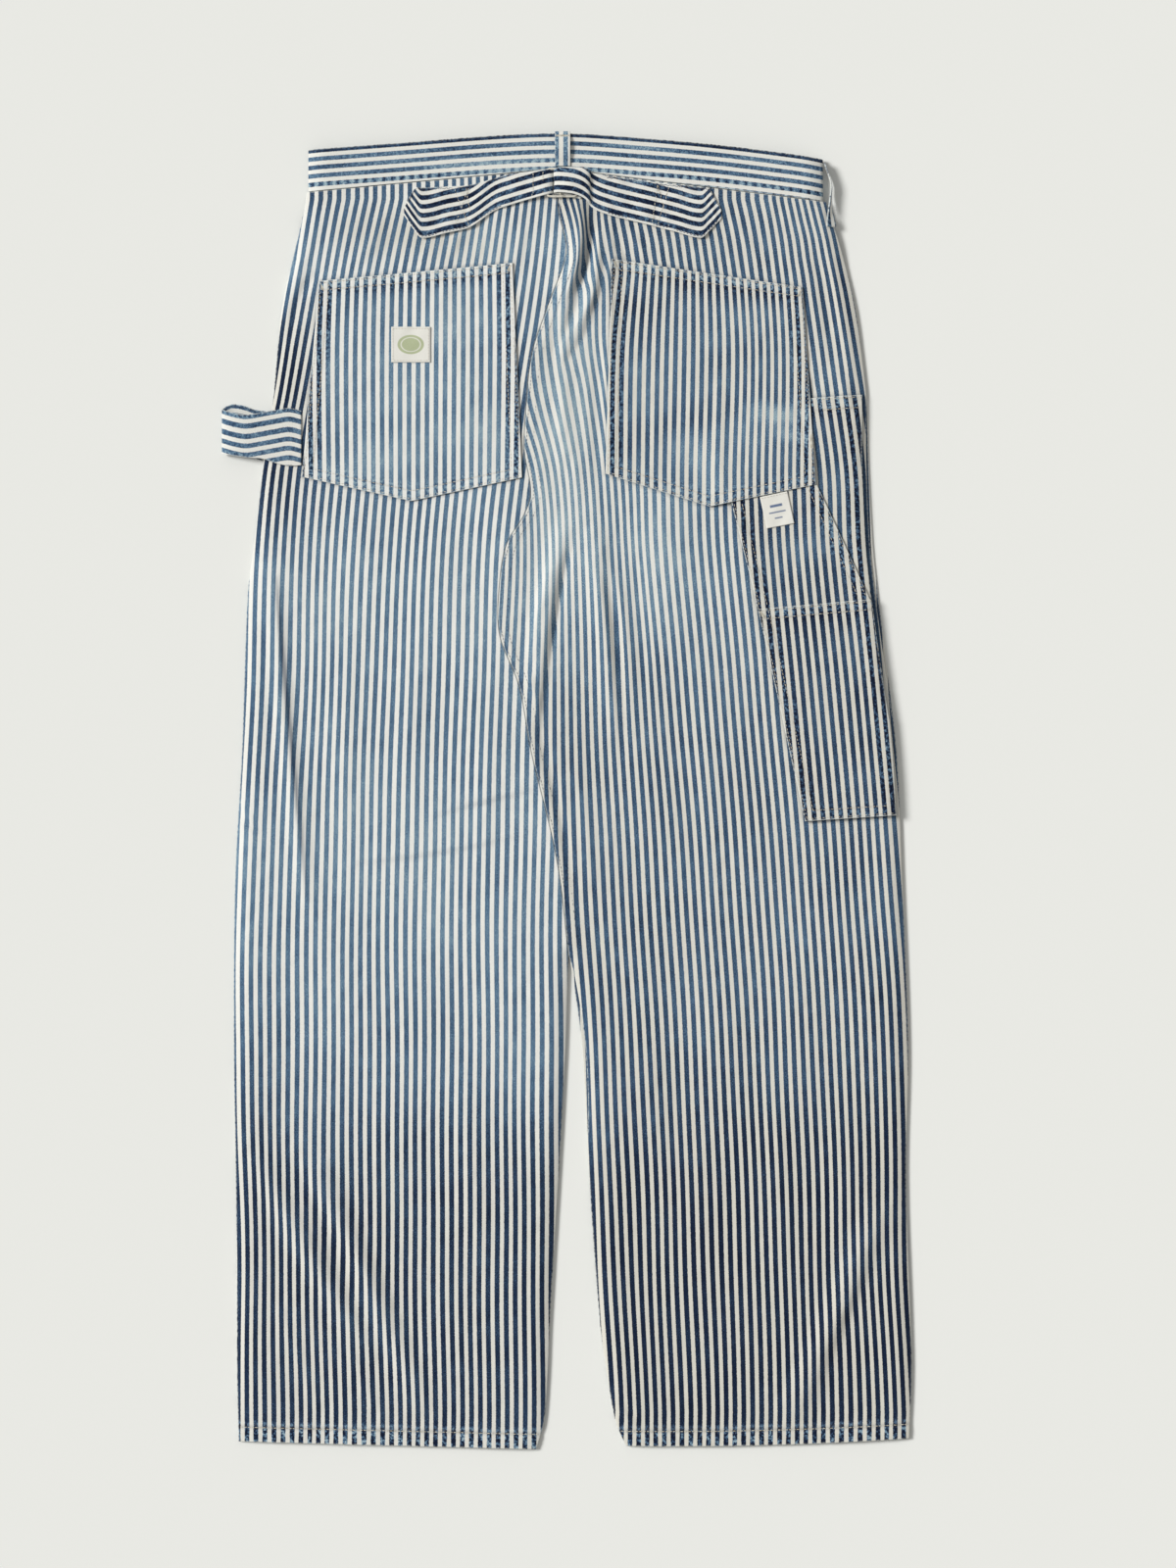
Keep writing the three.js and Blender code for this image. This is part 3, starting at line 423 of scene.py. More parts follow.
@dataclass
class MeshData:
    """Points, faces and what each point carries, gathered before a mesh is made."""

    points: Array
    faces: Array
    uv: Array
    masks: dict[str, Array] = field(default_factory=dict)

    def build(self, name: str, material: bpy.types.Material) -> bpy.types.Object:
        """Puts the arrays into a mesh, turns it to face outwards and links it.

        Args:
            name: the piece's name.
            material: its finish.

        Returns:
            The new object, at the origin.
        """
        points, faces = self.points * MM, self.faces
        corner = points[faces[:, :3]]
        volume = (corner[:, 0] * np.cross(corner[:, 1], corner[:, 2])).sum()
        if faces.shape[1] == 4:
            corner = points[faces[:, [0, 2, 3]]]
            volume += (corner[:, 0] * np.cross(corner[:, 1], corner[:, 2])).sum()
        if volume < 0:
            faces = faces[:, ::-1]
        mesh = bpy.data.meshes.new(name)
        mesh.vertices.add(len(points))
        mesh.vertices.foreach_set("co", points.astype(np.float32).ravel())
        mesh.loops.add(faces.size)
        mesh.loops.foreach_set("vertex_index", faces.astype(np.int32).ravel())
        mesh.polygons.add(len(faces))
        starts = np.arange(len(faces), dtype=np.int32) * faces.shape[1]
        mesh.polygons.foreach_set("loop_start", starts)
        mesh.polygons.foreach_set("use_smooth", np.ones(len(faces), bool))
        layer = mesh.uv_layers.new(name="UVMap")
        layer.data.foreach_set("uv", self.uv[faces.ravel()].astype(np.float32).ravel())
        for key, values in self.masks.items():
            attribute = mesh.attributes.new(key, "FLOAT", "POINT")
            attribute.data.foreach_set("value", values.astype(np.float32))
        mesh.update()
        mesh.validate()
        mesh.materials.append(material)
        piece = bpy.data.objects.new(name, mesh)
        bpy.context.scene.collection.objects.link(piece)
        return piece


def join(parts: list[MeshData]) -> MeshData:
    """Puts several sets of points and faces into one, in order."""
    counts = np.cumsum([0] + [len(part.points) for part in parts[:-1]])
    return MeshData(
        points=np.concatenate([part.points for part in parts]),
        faces=np.concatenate([part.faces + count for part, count in zip(parts, counts)]),
        uv=np.concatenate([part.uv for part in parts]),
        masks={key: np.concatenate([part.masks[key] for part in parts]) for key in parts[0].masks},
    )


def sheet(grid: Array) -> Array:
    """Faces of a grid of point numbers."""
    corners = [grid[:-1, :-1], grid[:-1, 1:], grid[1:, 1:], grid[1:, :-1]]
    return np.stack(corners, -1).reshape(-1, 4)


def tube(rings: Array) -> Array:
    """Faces between the rings of a tube, from its point numbers with one ring a row."""
    around = np.roll(rings, -1, axis=1)
    return np.stack([rings[:-1], around[:-1], around[1:], rings[1:]], -1).reshape(-1, 4)


def shell(upper: Array, lower: Array, uv: Array, masks: dict[str, Array]) -> MeshData:
    """A closed wall: an upper and a lower grid, joined by a rim round all four sides.

    Args:
        upper: points of the upper side, as rows of columns.
        lower: points of the lower side, the same grid.
        uv: stripe number and place along the grain, for each grid point.
        masks: wear values for each grid point.

    Returns:
        The wall, with the lower grid's points after the upper grid's.
    """
    rows, columns = upper.shape[:2]
    index = np.arange(rows * columns).reshape(rows, columns)
    under = index + rows * columns

    def quads(a: Array, b: Array) -> Array:
        """Faces between two lines of points."""
        return np.stack([a[:-1], a[1:], b[1:], b[:-1]], -1).reshape(-1, 4)

    faces = np.concatenate([
        sheet(index),
        sheet(under)[:, ::-1],
        quads(under[0], index[0]),
        quads(index[-1], under[-1]),
        quads(index[:, 0], under[:, 0]),
        quads(under[:, -1], index[:, -1]),
    ])
    flat_uv = uv.reshape(-1, 2)
    return MeshData(
        points=np.concatenate([upper.reshape(-1, 3), lower.reshape(-1, 3)]),
        faces=faces,
        uv=np.concatenate([flat_uv, flat_uv]),
        masks={key: np.tile(value.ravel(), 2) for key, value in masks.items()},
    )


def rounded(distance: Array) -> Array:
    """How far an upper side drops by its edge: a quarter circle."""
    near = np.minimum(distance, EDGE_ROUND)
    return EDGE_ROUND - np.sqrt(np.maximum(EDGE_ROUND**2 - (EDGE_ROUND - near) ** 2, 0.0))


def edge_steps(count: int, size: float) -> Array:
    """Even shares from none to one, with a few narrow steps of real width by both ends."""
    narrow = np.array([0.0, 0.12, 0.32, 0.7, 1.4]) / size
    middle = np.linspace(narrow[-1], 1 - narrow[-1], count + 1)
    return np.concatenate([narrow[:-1], middle, 1 - narrow[:-1][::-1]])


def along(path: Array, count: int) -> Array:
    """Points spaced evenly along a smooth curve through the path's points.

    Args:
        path: points in order.
        count: how many points to give.

    Returns:
        The points, with the same number of columns as the path.
    """
    span = np.linalg.norm(np.diff(path[:, :3], axis=0), axis=1)
    length = np.concatenate([[0.0], np.cumsum(span)])
    places = np.linspace(0, length[-1], count)
    columns = [Track(tuple(zip(length, column)))(places) for column in path.T]
    return np.stack(columns, -1)


class Run(Enum):
    """How a row of sewing looks."""

    PLAIN = "plain"
    CHAIN = "chain"
    TACK = "tack"


@dataclass(frozen=True)
class Sewing:
    """Rows of small rounded stitches, all in one mesh."""

    pitch: float = 3.1
    length: float = 2.5
    width: float = 0.62
    height: float = 0.42

    def stitches(self, path: Array, run: Run, seed: int) -> MeshData:
        """Sets one stitch at each step along a path, slightly uneven.

        A stitch is four rings of six points, narrow at both ends, which lie along the path. A
        chain leans its stitches to one side and the other in turn, and a tack sets them close and
        across the path.

        Args:
            path: points on the cloth, in order.
            run: how the row looks.
            seed: makes the stitches uneven.

        Returns:
            The stitches as one set of points and faces.
        """
        span = np.linalg.norm(np.diff(path, axis=0), axis=1)
        length = np.concatenate([[0.0], np.cumsum(span)])
        pitch = {Run.PLAIN: self.pitch, Run.CHAIN: self.pitch * 0.62, Run.TACK: 0.55}[run]
        count = max(int(length[-1] / pitch), 2)
        at = (np.arange(count) + 0.5) * length[-1] / count
        rng = np.random.default_rng(seed)
        centre = np.stack([np.interp(at, length, path[:, k]) for k in range(3)], -1)
        ahead = np.stack([np.interp(at + 0.6, length, path[:, k]) for k in range(3)], -1)
        behind = np.stack([np.interp(at - 0.6, length, path[:, k]) for k in range(3)], -1)
        way = ahead - behind
        way /= np.maximum(np.linalg.norm(way, axis=1, keepdims=True), 1e-9)
        side = np.cross(UP, way)
        side /= np.maximum(np.linalg.norm(side, axis=1, keepdims=True), 1e-9)
        turn = rng.normal(0, 0.05, count)
        if run is Run.CHAIN:
            turn = turn + 0.42 * (-1.0) ** np.arange(count)
        if run is Run.TACK:
            turn = turn + math.pi / 2
        cos, sin = np.cos(turn)[:, None], np.sin(turn)[:, None]
        way, side = way * cos + side * sin, side * cos - way * sin
        normal = np.cross(way, side)
        half = self.length / 2 * rng.uniform(0.9, 1.08, count)
        ring = np.array([-1.0, -0.55, 0.55, 1.0])
        wide = np.array([0.3, 1.0, 1.0, 0.3])
        sink = np.array([-0.5, 0.0, 0.0, -0.5])
        angle = np.arange(6) * math.pi / 3
        across = self.width / 2 * wide[:, None] * np.cos(angle)
        raised = self.height / 2 * (wide[:, None] * np.sin(angle) + sink[:, None])
        points = (
            centre[:, None, None]
            + (half[:, None] * ring)[:, :, None, None] * way[:, None, None]
            + across[None, :, :, None] * side[:, None, None]
            + raised[None, :, :, None] * normal[:, None, None]
        )
        caps = np.array([[3, 2, 1, 0], [5, 4, 3, 0], [18, 19, 20, 21], [18, 21, 22, 23]])
        faces = np.concatenate([tube(np.arange(24).reshape(4, 6)), caps])
        shift = np.arange(count)[:, None, None] * 24
        place = np.tile(np.repeat(at[:, None], 24, 1).ravel()[:, None], (1, 2))
        return MeshData(points.reshape(-1, 3), (faces + shift).reshape(-1, 4), place * MM)

    def sew(
        self, name: str, paths: list[Array], seed: int, thread: bpy.types.Material,
        run: Run = Run.PLAIN, others: tuple[tuple[Array, Run], ...] = (), slot: str = "denim",
    ) -> bpy.types.Object:
        """Makes the stitches of several paths one piece and dresses it.

        Args:
            name: the piece's name.
            paths: the rows that look alike.
            seed: makes the stitches uneven, counted up by one for each row.
            thread: the finish.
            run: how those rows look.
            others: more rows, each with its own look.
            slot: the piece's slot.

        Returns:
            The new piece.
        """
        plan = [(path, run) for path in paths] + list(others)
        parts = [self.stitches(path, look, seed + k) for k, (path, look) in enumerate(plan)]
        return dress(join(parts).build(name, thread), slot)


class Nodes:
    """Short ways to add shader nodes and link them."""

    def __init__(self, name: str) -> None:
        """Starts an empty material with its output."""
        self.material = bpy.data.materials.new(name)
        self.material.use_nodes = True
        self.tree = self.material.node_tree
        self.tree.nodes.clear()
        self.output = self.tree.nodes.new("ShaderNodeOutputMaterial")

    def add(self, kind: str, **settings: object) -> bpy.types.Node:
        """Adds a node of a kind and sets its options."""
        node = self.tree.nodes.new(kind)
        for key, value in settings.items():
            setattr(node, key, value)
        return node

    def put(self, socket: bpy.types.NodeSocket, value: object) -> None:
        """Links a socket to another, or sets its value."""
        if isinstance(value, bpy.types.NodeSocket):
            self.tree.links.new(value, socket)
        else:
            socket.default_value = value

    def math(self, operation: str, *values: object, clamped: bool = False) -> bpy.types.NodeSocket:
        """One arithmetic step."""
        node = self.add("ShaderNodeMath", operation=operation, use_clamp=clamped)
        for socket, value in zip(node.inputs, values):
            self.put(socket, value)
        return node.outputs[0]

    def scaled(self, value: object, middle: float, share: float) -> bpy.types.NodeSocket:
        """A share of how far a value is from its middle."""
        return self.math("MULTIPLY", self.math("SUBTRACT", value, middle), share)

    def mix(
        self, share: object, low: object, high: object, blend: str = "MIX"
    ) -> bpy.types.NodeSocket:
        """Mixes two colours by a share."""
        node = self.add("ShaderNodeMix", data_type="RGBA", blend_type=blend)
        self.put(node.inputs[0], share)
        for socket, colour in zip(node.inputs[6:8], (low, high)):
            self.put(socket, (*colour, 1.0) if isinstance(colour, tuple) else colour)
        return node.outputs[2]

    def noise(self, vector: object, scale: float, detail: float = 2.0) -> bpy.types.NodeSocket:
        """Smooth noise around one half."""
        node = self.add("ShaderNodeTexNoise")
        self.put(node.inputs["Vector"], vector)
        self.put(node.inputs["Scale"], scale)
        self.put(node.inputs["Detail"], detail)
        return node.outputs["Fac"]

    def stretch(self, vector: object, scale: tuple[float, float, float]) -> bpy.types.NodeSocket:
        """Scales a vector along each of its axes."""
        node = self.add("ShaderNodeMapping")
        self.put(node.inputs["Vector"], vector)
        self.put(node.inputs["Scale"], scale)
        return node.outputs[0]

    def ease(self, value: object, low: float, high: float) -> bpy.types.NodeSocket:
        """Eases from none at low to one at high."""
        node = self.add("ShaderNodeMapRange", interpolation_type="SMOOTHSTEP")
        self.put(node.inputs["Value"], value)
        self.put(node.inputs["From Min"], low)
        self.put(node.inputs["From Max"], high)
        return node.outputs[0]

    def ramp(self, value: object, colours: tuple[tuple[float, ...], ...]) -> bpy.types.NodeSocket:
        """A colour for each value, mixed between colours that stand evenly from none to one."""
        node = self.add("ShaderNodeValToRGB")
        ramp = node.color_ramp
        while len(ramp.elements) < len(colours):
            ramp.elements.new(0.5)
        for k, (element, colour) in enumerate(zip(ramp.elements, colours)):
            element.position = k / (len(colours) - 1)
            element.color = (*colour, 1.0)
        self.put(node.inputs[0], value)
        return node.outputs[0]

    def attribute(self, name: str) -> bpy.types.NodeSocket:
        """A value that each point of the mesh carries."""
        return self.add("ShaderNodeAttribute", attribute_name=name).outputs["Fac"]

    def finish(
        self, colour: object, roughness: object, height: object, depth: float, strength: float
    ) -> bpy.types.Node:
        """Adds the shader with its colour, roughness and relief.

        Args:
            colour: the base colour.
            roughness: none for a mirror, one for chalk.
            height: what stands up and what lies deep.
            depth: how deep the relief is, in metres.
            strength: how much of the relief shows.

        Returns:
            The shader, for more settings.
        """
        shader = self.add("ShaderNodeBsdfPrincipled")
        self.put(shader.inputs["Base Color"], colour)
        self.put(shader.inputs["Roughness"], roughness)
        relief = self.add("ShaderNodeBump")
        self.put(relief.inputs["Height"], height)
        self.put(relief.inputs["Distance"], depth)
        self.put(relief.inputs["Strength"], strength)
        self.put(shader.inputs["Normal"], relief.outputs[0])
        self.put(self.output.inputs["Surface"], shader.outputs[0])
        return shader


@dataclass(frozen=True)
class Denim:
    """Washed denim with indigo and undyed stripes, faded, worn and darkened with painted shade by
    what its points carry.
    """

    name: str = "striped_denim"
    stripe_share: float = 0.535
    edge_softness: float = 0.07
    narrowing: float = 0.035
    deepest: tuple[float, float, float] = (0.006, 0.012, 0.032)
    deep: tuple[float, float, float] = (0.017, 0.034, 0.074)
    middle: tuple[float, float, float] = (0.058, 0.114, 0.198)
    pale: tuple[float, float, float] = (0.135, 0.232, 0.332)
    palest: tuple[float, float, float] = (0.330, 0.440, 0.500)
    cream: tuple[float, float, float] = (0.805, 0.812, 0.788)
    # Tone of the undyed stripes where they are dull, and where shade is painted on the right and on
    # the seat.
    cream_dulled_and_shaded: tuple[float, float, float] = (0.650, 0.636, 0.575)
    rubbed: tuple[float, float, float] = (0.740, 0.770, 0.740)
    # Tint that the painted shade multiplies the cloth by.
    darkening: tuple[float, float, float] = (0.22, 0.24, 0.30)

    def material(self) -> bpy.types.Material:
        """Lays stripes by the stripe number, then yarn speckle, fading, roping, rubbed edges and
        painted shade.

        Returns:
            The finished material.
        """
        n = Nodes(self.name)
        parts = n.add("ShaderNodeSeparateXYZ")
        n.put(parts.inputs[0], n.add("ShaderNodeUVMap", uv_map="UVMap").outputs[0])
        number, grain = parts.outputs[0], parts.outputs[1]
        place = n.add("ShaderNodeCombineXYZ")
        n.put(place.inputs[0], n.math("MULTIPLY", number, STRIPE_PITCH * MM))
        n.put(place.inputs[1], grain)
        place = place.outputs[0]
        warp = n.noise(n.stretch(place, (1.0, 0.3, 1.0)), 2300.0, 2.0)
        weft = n.noise(n.stretch(place, (0.35, 1.0, 1.0)), 1700.0, 1.0)
        speck = n.noise(place, 1250.0, 2.0)
        mottle = n.noise(n.stretch(place, (1.0, 0.55, 1.0)), 110.0, 3.0)
        cloud = n.noise(place, 16.0, 2.0)
        patch = n.noise(place, 380.0, 2.0)

        jitter = n.scaled(n.noise(place, 900.0), 0.5, 0.12)
        beat = n.math("PINGPONG", n.math("ADD", number, jitter), 0.5)
        fade = n.attribute("fade")
        beat = n.math("ADD", beat, n.scaled(fade, 0.4, self.narrowing))
        share = self.stripe_share / 2
        soft = self.edge_softness / 2
        dyed = n.ease(beat, share + soft, share - soft)

        tone = fade
        for yarns, mean, share_of in (
            (speck, 0.42, 1.0), (warp, 0.5, 0.8), (mottle, 0.5, 0.40), (cloud, 0.5, 0.35)
        ):
            tone = n.math("ADD", tone, n.scaled(yarns, mean, share_of))
        roped = n.scaled(n.ease(patch, 0.34, 0.66), 0.57, 0.95)
        tone = n.math("ADD", tone, n.math("MULTIPLY", roped, n.attribute("rope")))
        blue = n.ramp(tone, (self.deepest, self.deep, self.middle, self.pale, self.palest))
        # Undyed stripes greyed by real dulling and by painted shade, with weft noise.
        dull_and_shaded = n.math("ADD", n.attribute("dull"), n.scaled(weft, 0.42, 0.9))
        undyed = n.mix(n.math("MAXIMUM", dull_and_shaded, 0.0), self.cream, self.cream_dulled_and_shaded)
        cloth = n.mix(dyed, undyed, blue)
        rubs = n.ease(n.noise(place, 420.0), 0.30, 0.62)
        cloth = n.mix(n.math("MULTIPLY", n.attribute("rub"), rubs), cloth, self.rubbed)
        # Painted shade: darkens the cloth towards its tint wherever the points carry it.
        shade = n.math("MULTIPLY", n.attribute("painted_shade"), 0.55)
        cloth = n.mix(shade, cloth, n.mix(1.0, cloth, self.darkening, "MULTIPLY"))

        diagonal = n.add("ShaderNodeTexWave", wave_type="BANDS", bands_direction="DIAGONAL")
        n.put(diagonal.inputs["Vector"], place)
        n.put(diagonal.inputs["Scale"], 330.0)
        n.put(diagonal.inputs["Distortion"], 1.2)
        relief = n.math("ADD", n.math("MULTIPLY", diagonal.outputs["Fac"], 0.35), warp)
        relief = n.math("ADD", relief, n.math("MULTIPLY", mottle, 1.6))
        rough = n.math("ADD", 0.84, n.math("MULTIPLY", speck, 0.12))
        shader = n.finish(cloth, rough, relief, 0.0004, 0.55)
        shader.inputs["Specular IOR Level"].default_value = 0.05
        shader.inputs["Sheen Weight"].default_value = 0.02
        shader.inputs["Sheen Roughness"].default_value = 0.6
        return n.material


@dataclass(frozen=True)
class Thread:
    """Sewing thread with the twist of its plies."""

    name: str
    light: tuple[float, float, float]
    dark: tuple[float, float, float]

    def material(self) -> bpy.types.Material:
        """Mixes two near tones along the thread, with fine twisted plies as relief.

        Returns:
            The finished material.
        """
        n = Nodes(self.name)
        place = n.add("ShaderNodeTexCoord").outputs["Object"]
        uneven = n.noise(place, 260.0, 3.0)
        colour = n.mix(n.ease(uneven, 0.35, 0.68), self.dark, self.light)
        plies = n.add("ShaderNodeTexWave", wave_type="BANDS", bands_direction="DIAGONAL")
        n.put(plies.inputs["Vector"], place)
        n.put(plies.inputs["Scale"], 900.0)
        n.finish(colour, 0.72, plies.outputs["Fac"], 0.0002, 0.5)
        return n.material


class Motif(Enum):
    """What a label carries. Both are plain marks of no maker."""

    OVAL = "oval"
    BARS = "bars"


@dataclass(frozen=True)
class LabelCloth:
    """A woven label with one plain mark on it. The label runs from none to one in both ways."""

    name: str
    motif: Motif
    ground: tuple[float, float, float] = (0.790, 0.785, 0.735)
    shade: tuple[float, float, float] = (0.680, 0.675, 0.620)
    mark: tuple[float, float, float] = (0.420, 0.470, 0.290)

    edge: float = 0.02
    bars: tuple[tuple[float, float, float, float], ...] = (
        (0.28, 0.72, 0.60, 0.68), (0.20, 0.80, 0.42, 0.46), (0.36, 0.64, 0.24, 0.28),
    )
    oval: tuple[float, float] = (0.34, 0.27)

    def between(self, n: Nodes, place: object, low: float, high: float) -> bpy.types.NodeSocket:
        """One between two places, with a soft edge at both."""
        rise = n.ease(place, low - self.edge, low + self.edge)
        return n.math("MULTIPLY", rise, n.ease(place, high + self.edge, high - self.edge))

    def marked(self, n: Nodes, u: object, v: object) -> bpy.types.NodeSocket:
        """Where the mark is: an oval with a thin inner line, or three short bars."""
        if self.motif is Motif.BARS:
            mark = 0.0
            for left, right, bottom, top in self.bars:
                wide, tall = self.between(n, u, left, right), self.between(n, v, bottom, top)
                mark = n.math("ADD", mark, n.math("MULTIPLY", wide, tall), clamped=True)
            return mark
        wide = n.math("DIVIDE", n.math("SUBTRACT", u, 0.5), self.oval[0])
        tall = n.math("DIVIDE", n.math("SUBTRACT", v, 0.5), self.oval[1])
        square = n.math("ADD", n.math("MULTIPLY", wide, wide), n.math("MULTIPLY", tall, tall))
        ring = n.math("SQRT", square)
        line = n.math("MULTIPLY", n.ease(ring, 0.80, 0.76), n.ease(ring, 0.66, 0.70))
        thinned = n.math("MULTIPLY", line, 0.75)
        return n.math("SUBTRACT", n.ease(ring, 1.04, 0.96), thinned, clamped=True)

    def material(self) -> bpy.types.Material:
        """Fine woven ribs, a little soiling, and the mark in a second colour.

        Returns:
            The finished material.
        """
        n = Nodes(self.name)
        uv = n.add("ShaderNodeUVMap", uv_map="UVMap").outputs[0]
        parts = n.add("ShaderNodeSeparateXYZ")
        n.put(parts.inputs[0], uv)
        u, v = parts.outputs[0], parts.outputs[1]
        ribs = n.noise(n.stretch(uv, (24.0, 70.0, 1.0)), 2.2, 2.0)
        darkening = n.noise(uv, 3.5, 3.0)
        ground = n.mix(n.math("MULTIPLY", ribs, darkening), self.ground, self.shade)
        mark = n.math("MULTIPLY", self.marked(n, u, v), n.ease(ribs, 0.12, 0.44))
        colour = n.mix(mark, ground, self.mark)
        n.finish(colour, 0.86, ribs, 0.0003, 0.5)
        return n.material


@dataclass(frozen=True)
class Metal:
    """Coated or bare metal with small marks of use."""

    name: str
    colour: tuple[float, float, float]
    worn: tuple[float, float, float]
    metallic: float
    roughness: float

    def material(self) -> bpy.types.Material:
        """Mixes the coat with its worn tone in small spots, over a faint uneven relief.

        Returns:
            The finished material.
        """
        n = Nodes(self.name)
        place = n.add("ShaderNodeTexCoord").outputs["Object"]
        spots = n.noise(place, 420.0, 4.0)
        colour = n.mix(n.ease(spots, 0.52, 0.72), self.colour, self.worn)
        rough = n.math("ADD", self.roughness, n.math("MULTIPLY", spots, 0.15))
        shader = n.finish(colour, rough, spots, 0.0002, 0.3)
        shader.inputs["Metallic"].default_value = self.metallic
        return n.material


@dataclass(frozen=True)
class Paper:
    """The plain pale ground."""

    name: str = "pale_ground"
    colour: tuple[float, float, float] = (0.800, 0.812, 0.790)

    def material(self) -> bpy.types.Material:
        """One pale tone with a barely visible grain.

        Returns:
            The finished material.
        """
        n = Nodes(self.name)
        place = n.add("ShaderNodeTexCoord").outputs["Object"]
        grain = n.noise(place, 300.0, 2.0)
        low = tuple(channel * 0.995 for channel in self.colour)
        shader = n.finish(n.mix(grain, low, self.colour), 0.95, grain, 0.0001, 0.05)
        shader.inputs["Specular IOR Level"].default_value = 0.0
        return n.material


@dataclass(frozen=True)
class Finishes:
    """Every material of the garment, made once."""

    denim: bpy.types.Material
    dark_thread: bpy.types.Material
    pale_thread: bpy.types.Material
    pocket_label: bpy.types.Material
    tab_label: bpy.types.Material
    wire: bpy.types.Material
    button: bpy.types.Material

    @classmethod
    def make(cls) -> "Finishes":
        """Builds the materials from their colours."""
        indigo = Thread("indigo_thread", (0.060, 0.090, 0.170), (0.020, 0.028, 0.060))
        undyed = Thread("undyed_thread", (0.720, 0.690, 0.600), (0.480, 0.440, 0.350))
        woven = LabelCloth("woven_pocket_label", Motif.OVAL)
        barred = LabelCloth("woven_tab_label", Motif.BARS, mark=(0.090, 0.140, 0.260))
        wire = Metal("cream_coated_wire", (0.74, 0.71, 0.62), (0.42, 0.40, 0.35), 0.25, 0.34)
        steel = Metal("pressed_steel", (0.36, 0.37, 0.39), (0.16, 0.15, 0.15), 0.95, 0.32)
        made = (Denim(), indigo, undyed, woven, barred, wire, steel)
        return cls(*(finish.material() for finish in made))


def make_cloth(
    data: MeshData, name: str, finish: bpy.types.Material, slot: str = "denim"
) -> bpy.types.Object:
    """Makes the cloth piece that stands for the solid of its name."""
    return dress(data.build(f"{name}_cloth", finish), slot, name)


def dress(piece: bpy.types.Object, slot: str, *nodes: str) -> bpy.types.Object:
    """Lets a piece ride on the body and hides the solids that it stands for."""
    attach(piece, "root")
    if nodes:
        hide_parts(*nodes)
    LOG.info("%s: %d faces", piece.name, len(piece.data.polygons))
    return piece


LEFT_STRIPES = StripeMap((1, 10, 16, 28), (
    (-519, -267.5, -200.5, -154.5, -65),
    (-404, -267, -203, -157, -66),
    (-240, -271, -203, -157, -66),
    (-76, -269.5, -202, -157, -66),
    (88, -262, -196.5, -153, -62),
    (202, -258.5, -193, -148, -58.5),
    (268, -252.5, -187.5, -142.5, -52),
    (334, -239, -178.5, -132.5, -42),
    (391, -230, -167, -121, -33),
    (447, -220.5, -156.5, -110.5, -25.5),
    (494, -212.5, -145.5, -101, -20.5),
))
RIGHT_STRIPES = StripeMap((0, 3, 5, 7, 10, 20, 28, 32, 36), (
    (-519, 38, 60, 74.5, 89, 111, 185, 245, 274.5, 304),
    (-404, 31.5, 54, 69.5, 84.5, 107, 182.5, 240.5, 268.5, 296.5),
    (-240, 25, 47.5, 63, 78, 100.5, 176, 236, 265.5, 295),
    (-76, 15, 38, 53, 68, 90.5, 166, 226, 255.5, 285),
    (88, 9.5, 30, 43.5, 57, 77.5, 152, 211, 241.5, 270),
    (202, 7, 25, 37.5, 49.5, 67.5, 141.5, 199.5, 229, 259.5),
    (268, 2, 20.5, 33, 45.5, 64.5, 138, 196.5, 226, 255.5),
    (334, -10.5, 12, 25, 36, 57, 131, 188, 217, 247),
    (375, -16, 3.7, 19.3, 31, 52, 126, 183.5, 212, 240.5),
    (416, -18, 3.7, 17.6, 30.3, 50, 121, 178.5, 206, 233),
    (430, -17, 4.5, 13.8, 29, 47, 118.5, 176.5, 204, 230),
    (444, -15, 6.2, 14.4, 25, 44.3, 116.5, 174.5, 201.5, 227),
    (461, -15, 5.3, 15, 21.5, 41.8, 114, 172, 199, 223.5),
    (476, -18, 2.9, 13.4, 20.3, 39, 111, 169.5, 195.5, 220),
    (494, -23, -1.6, 9, 20.5, 36.5, 107, 166, 191.5, 215.5),
))
LEFT_POCKET_STRIPES = StripeMap((10, 28), (
    (268, -191.5, -57.5),
    (366, -192, -56.5),
    (432, -190, -57),
))
RIGHT_POCKET_STRIPES = StripeMap((10, 20, 28), (
    (268, 67, 140, 193),
    (366, 68.5, 142.5, 194),
    (432, 72, 139, 190),
))
LEFT_WASH = Wash(
    Track((
        (-551, 0.15), (-400, 0.15), (-340, 0.18), (-289, 0.32), (-240, 0.46), (-150, 0.56),
        (-43, 0.63), (55, 0.57), (153, 0.65), (225, 0.62), (326, 0.53), (370, 0.53),
        (450, 0.70), (520, 0.52),
    )),
    creases(
        (-230, 430, -248, 310, -260, 190, -0.40, 50),
        (-256, 250, -264, 100, -268, -60, -0.14, 42), (-100, 400, -90, 320, -86, 220, 0.18, 60),
        (-266, -190, -270, -270, -272, -350, -0.08, 50),
        (-212, 535, -214, 500, -224, 460, -0.20, 40), (-20, 535, -40, 508, -70, 480, -0.12, 40),
    ),
)
RIGHT_WASH = Wash(
    Track((
        (-551, 0.05), (-340, 0.06), (-289, 0.19), (-240, 0.28), (-150, 0.36), (-70, 0.39),
        (6, 0.38), (60, 0.43), (150, 0.55), (220, 0.62), (300, 0.62), (370, 0.58),
        (450, 0.50), (520, 0.48),
    )),
    creases(
        (6, 470, -2, 300, -18, 90, 0.28, 62, 0.4), (90, 340, 74, 230, 60, 110, 0.10, 60),
        (238, 450, 256, 250, 268, 30, -0.19, 55, 0.4), (-6, 545, -4, 512, 2, 470, -0.16, 32),
        (10, -190, 22, -280, 34, -370, 0.12, 36), (264, -110, 270, -230, 276, -350, -0.12, 60),
    ),
)

# Painted shade on the seat: strokes that grey the undyed stripes.
SEAT_SHADE = creases(
    (-200, 470, -120, 462, -30, 446, 0.70, 34), (0, 430, -8, 340, -20, 250, 0.20, 50),
)
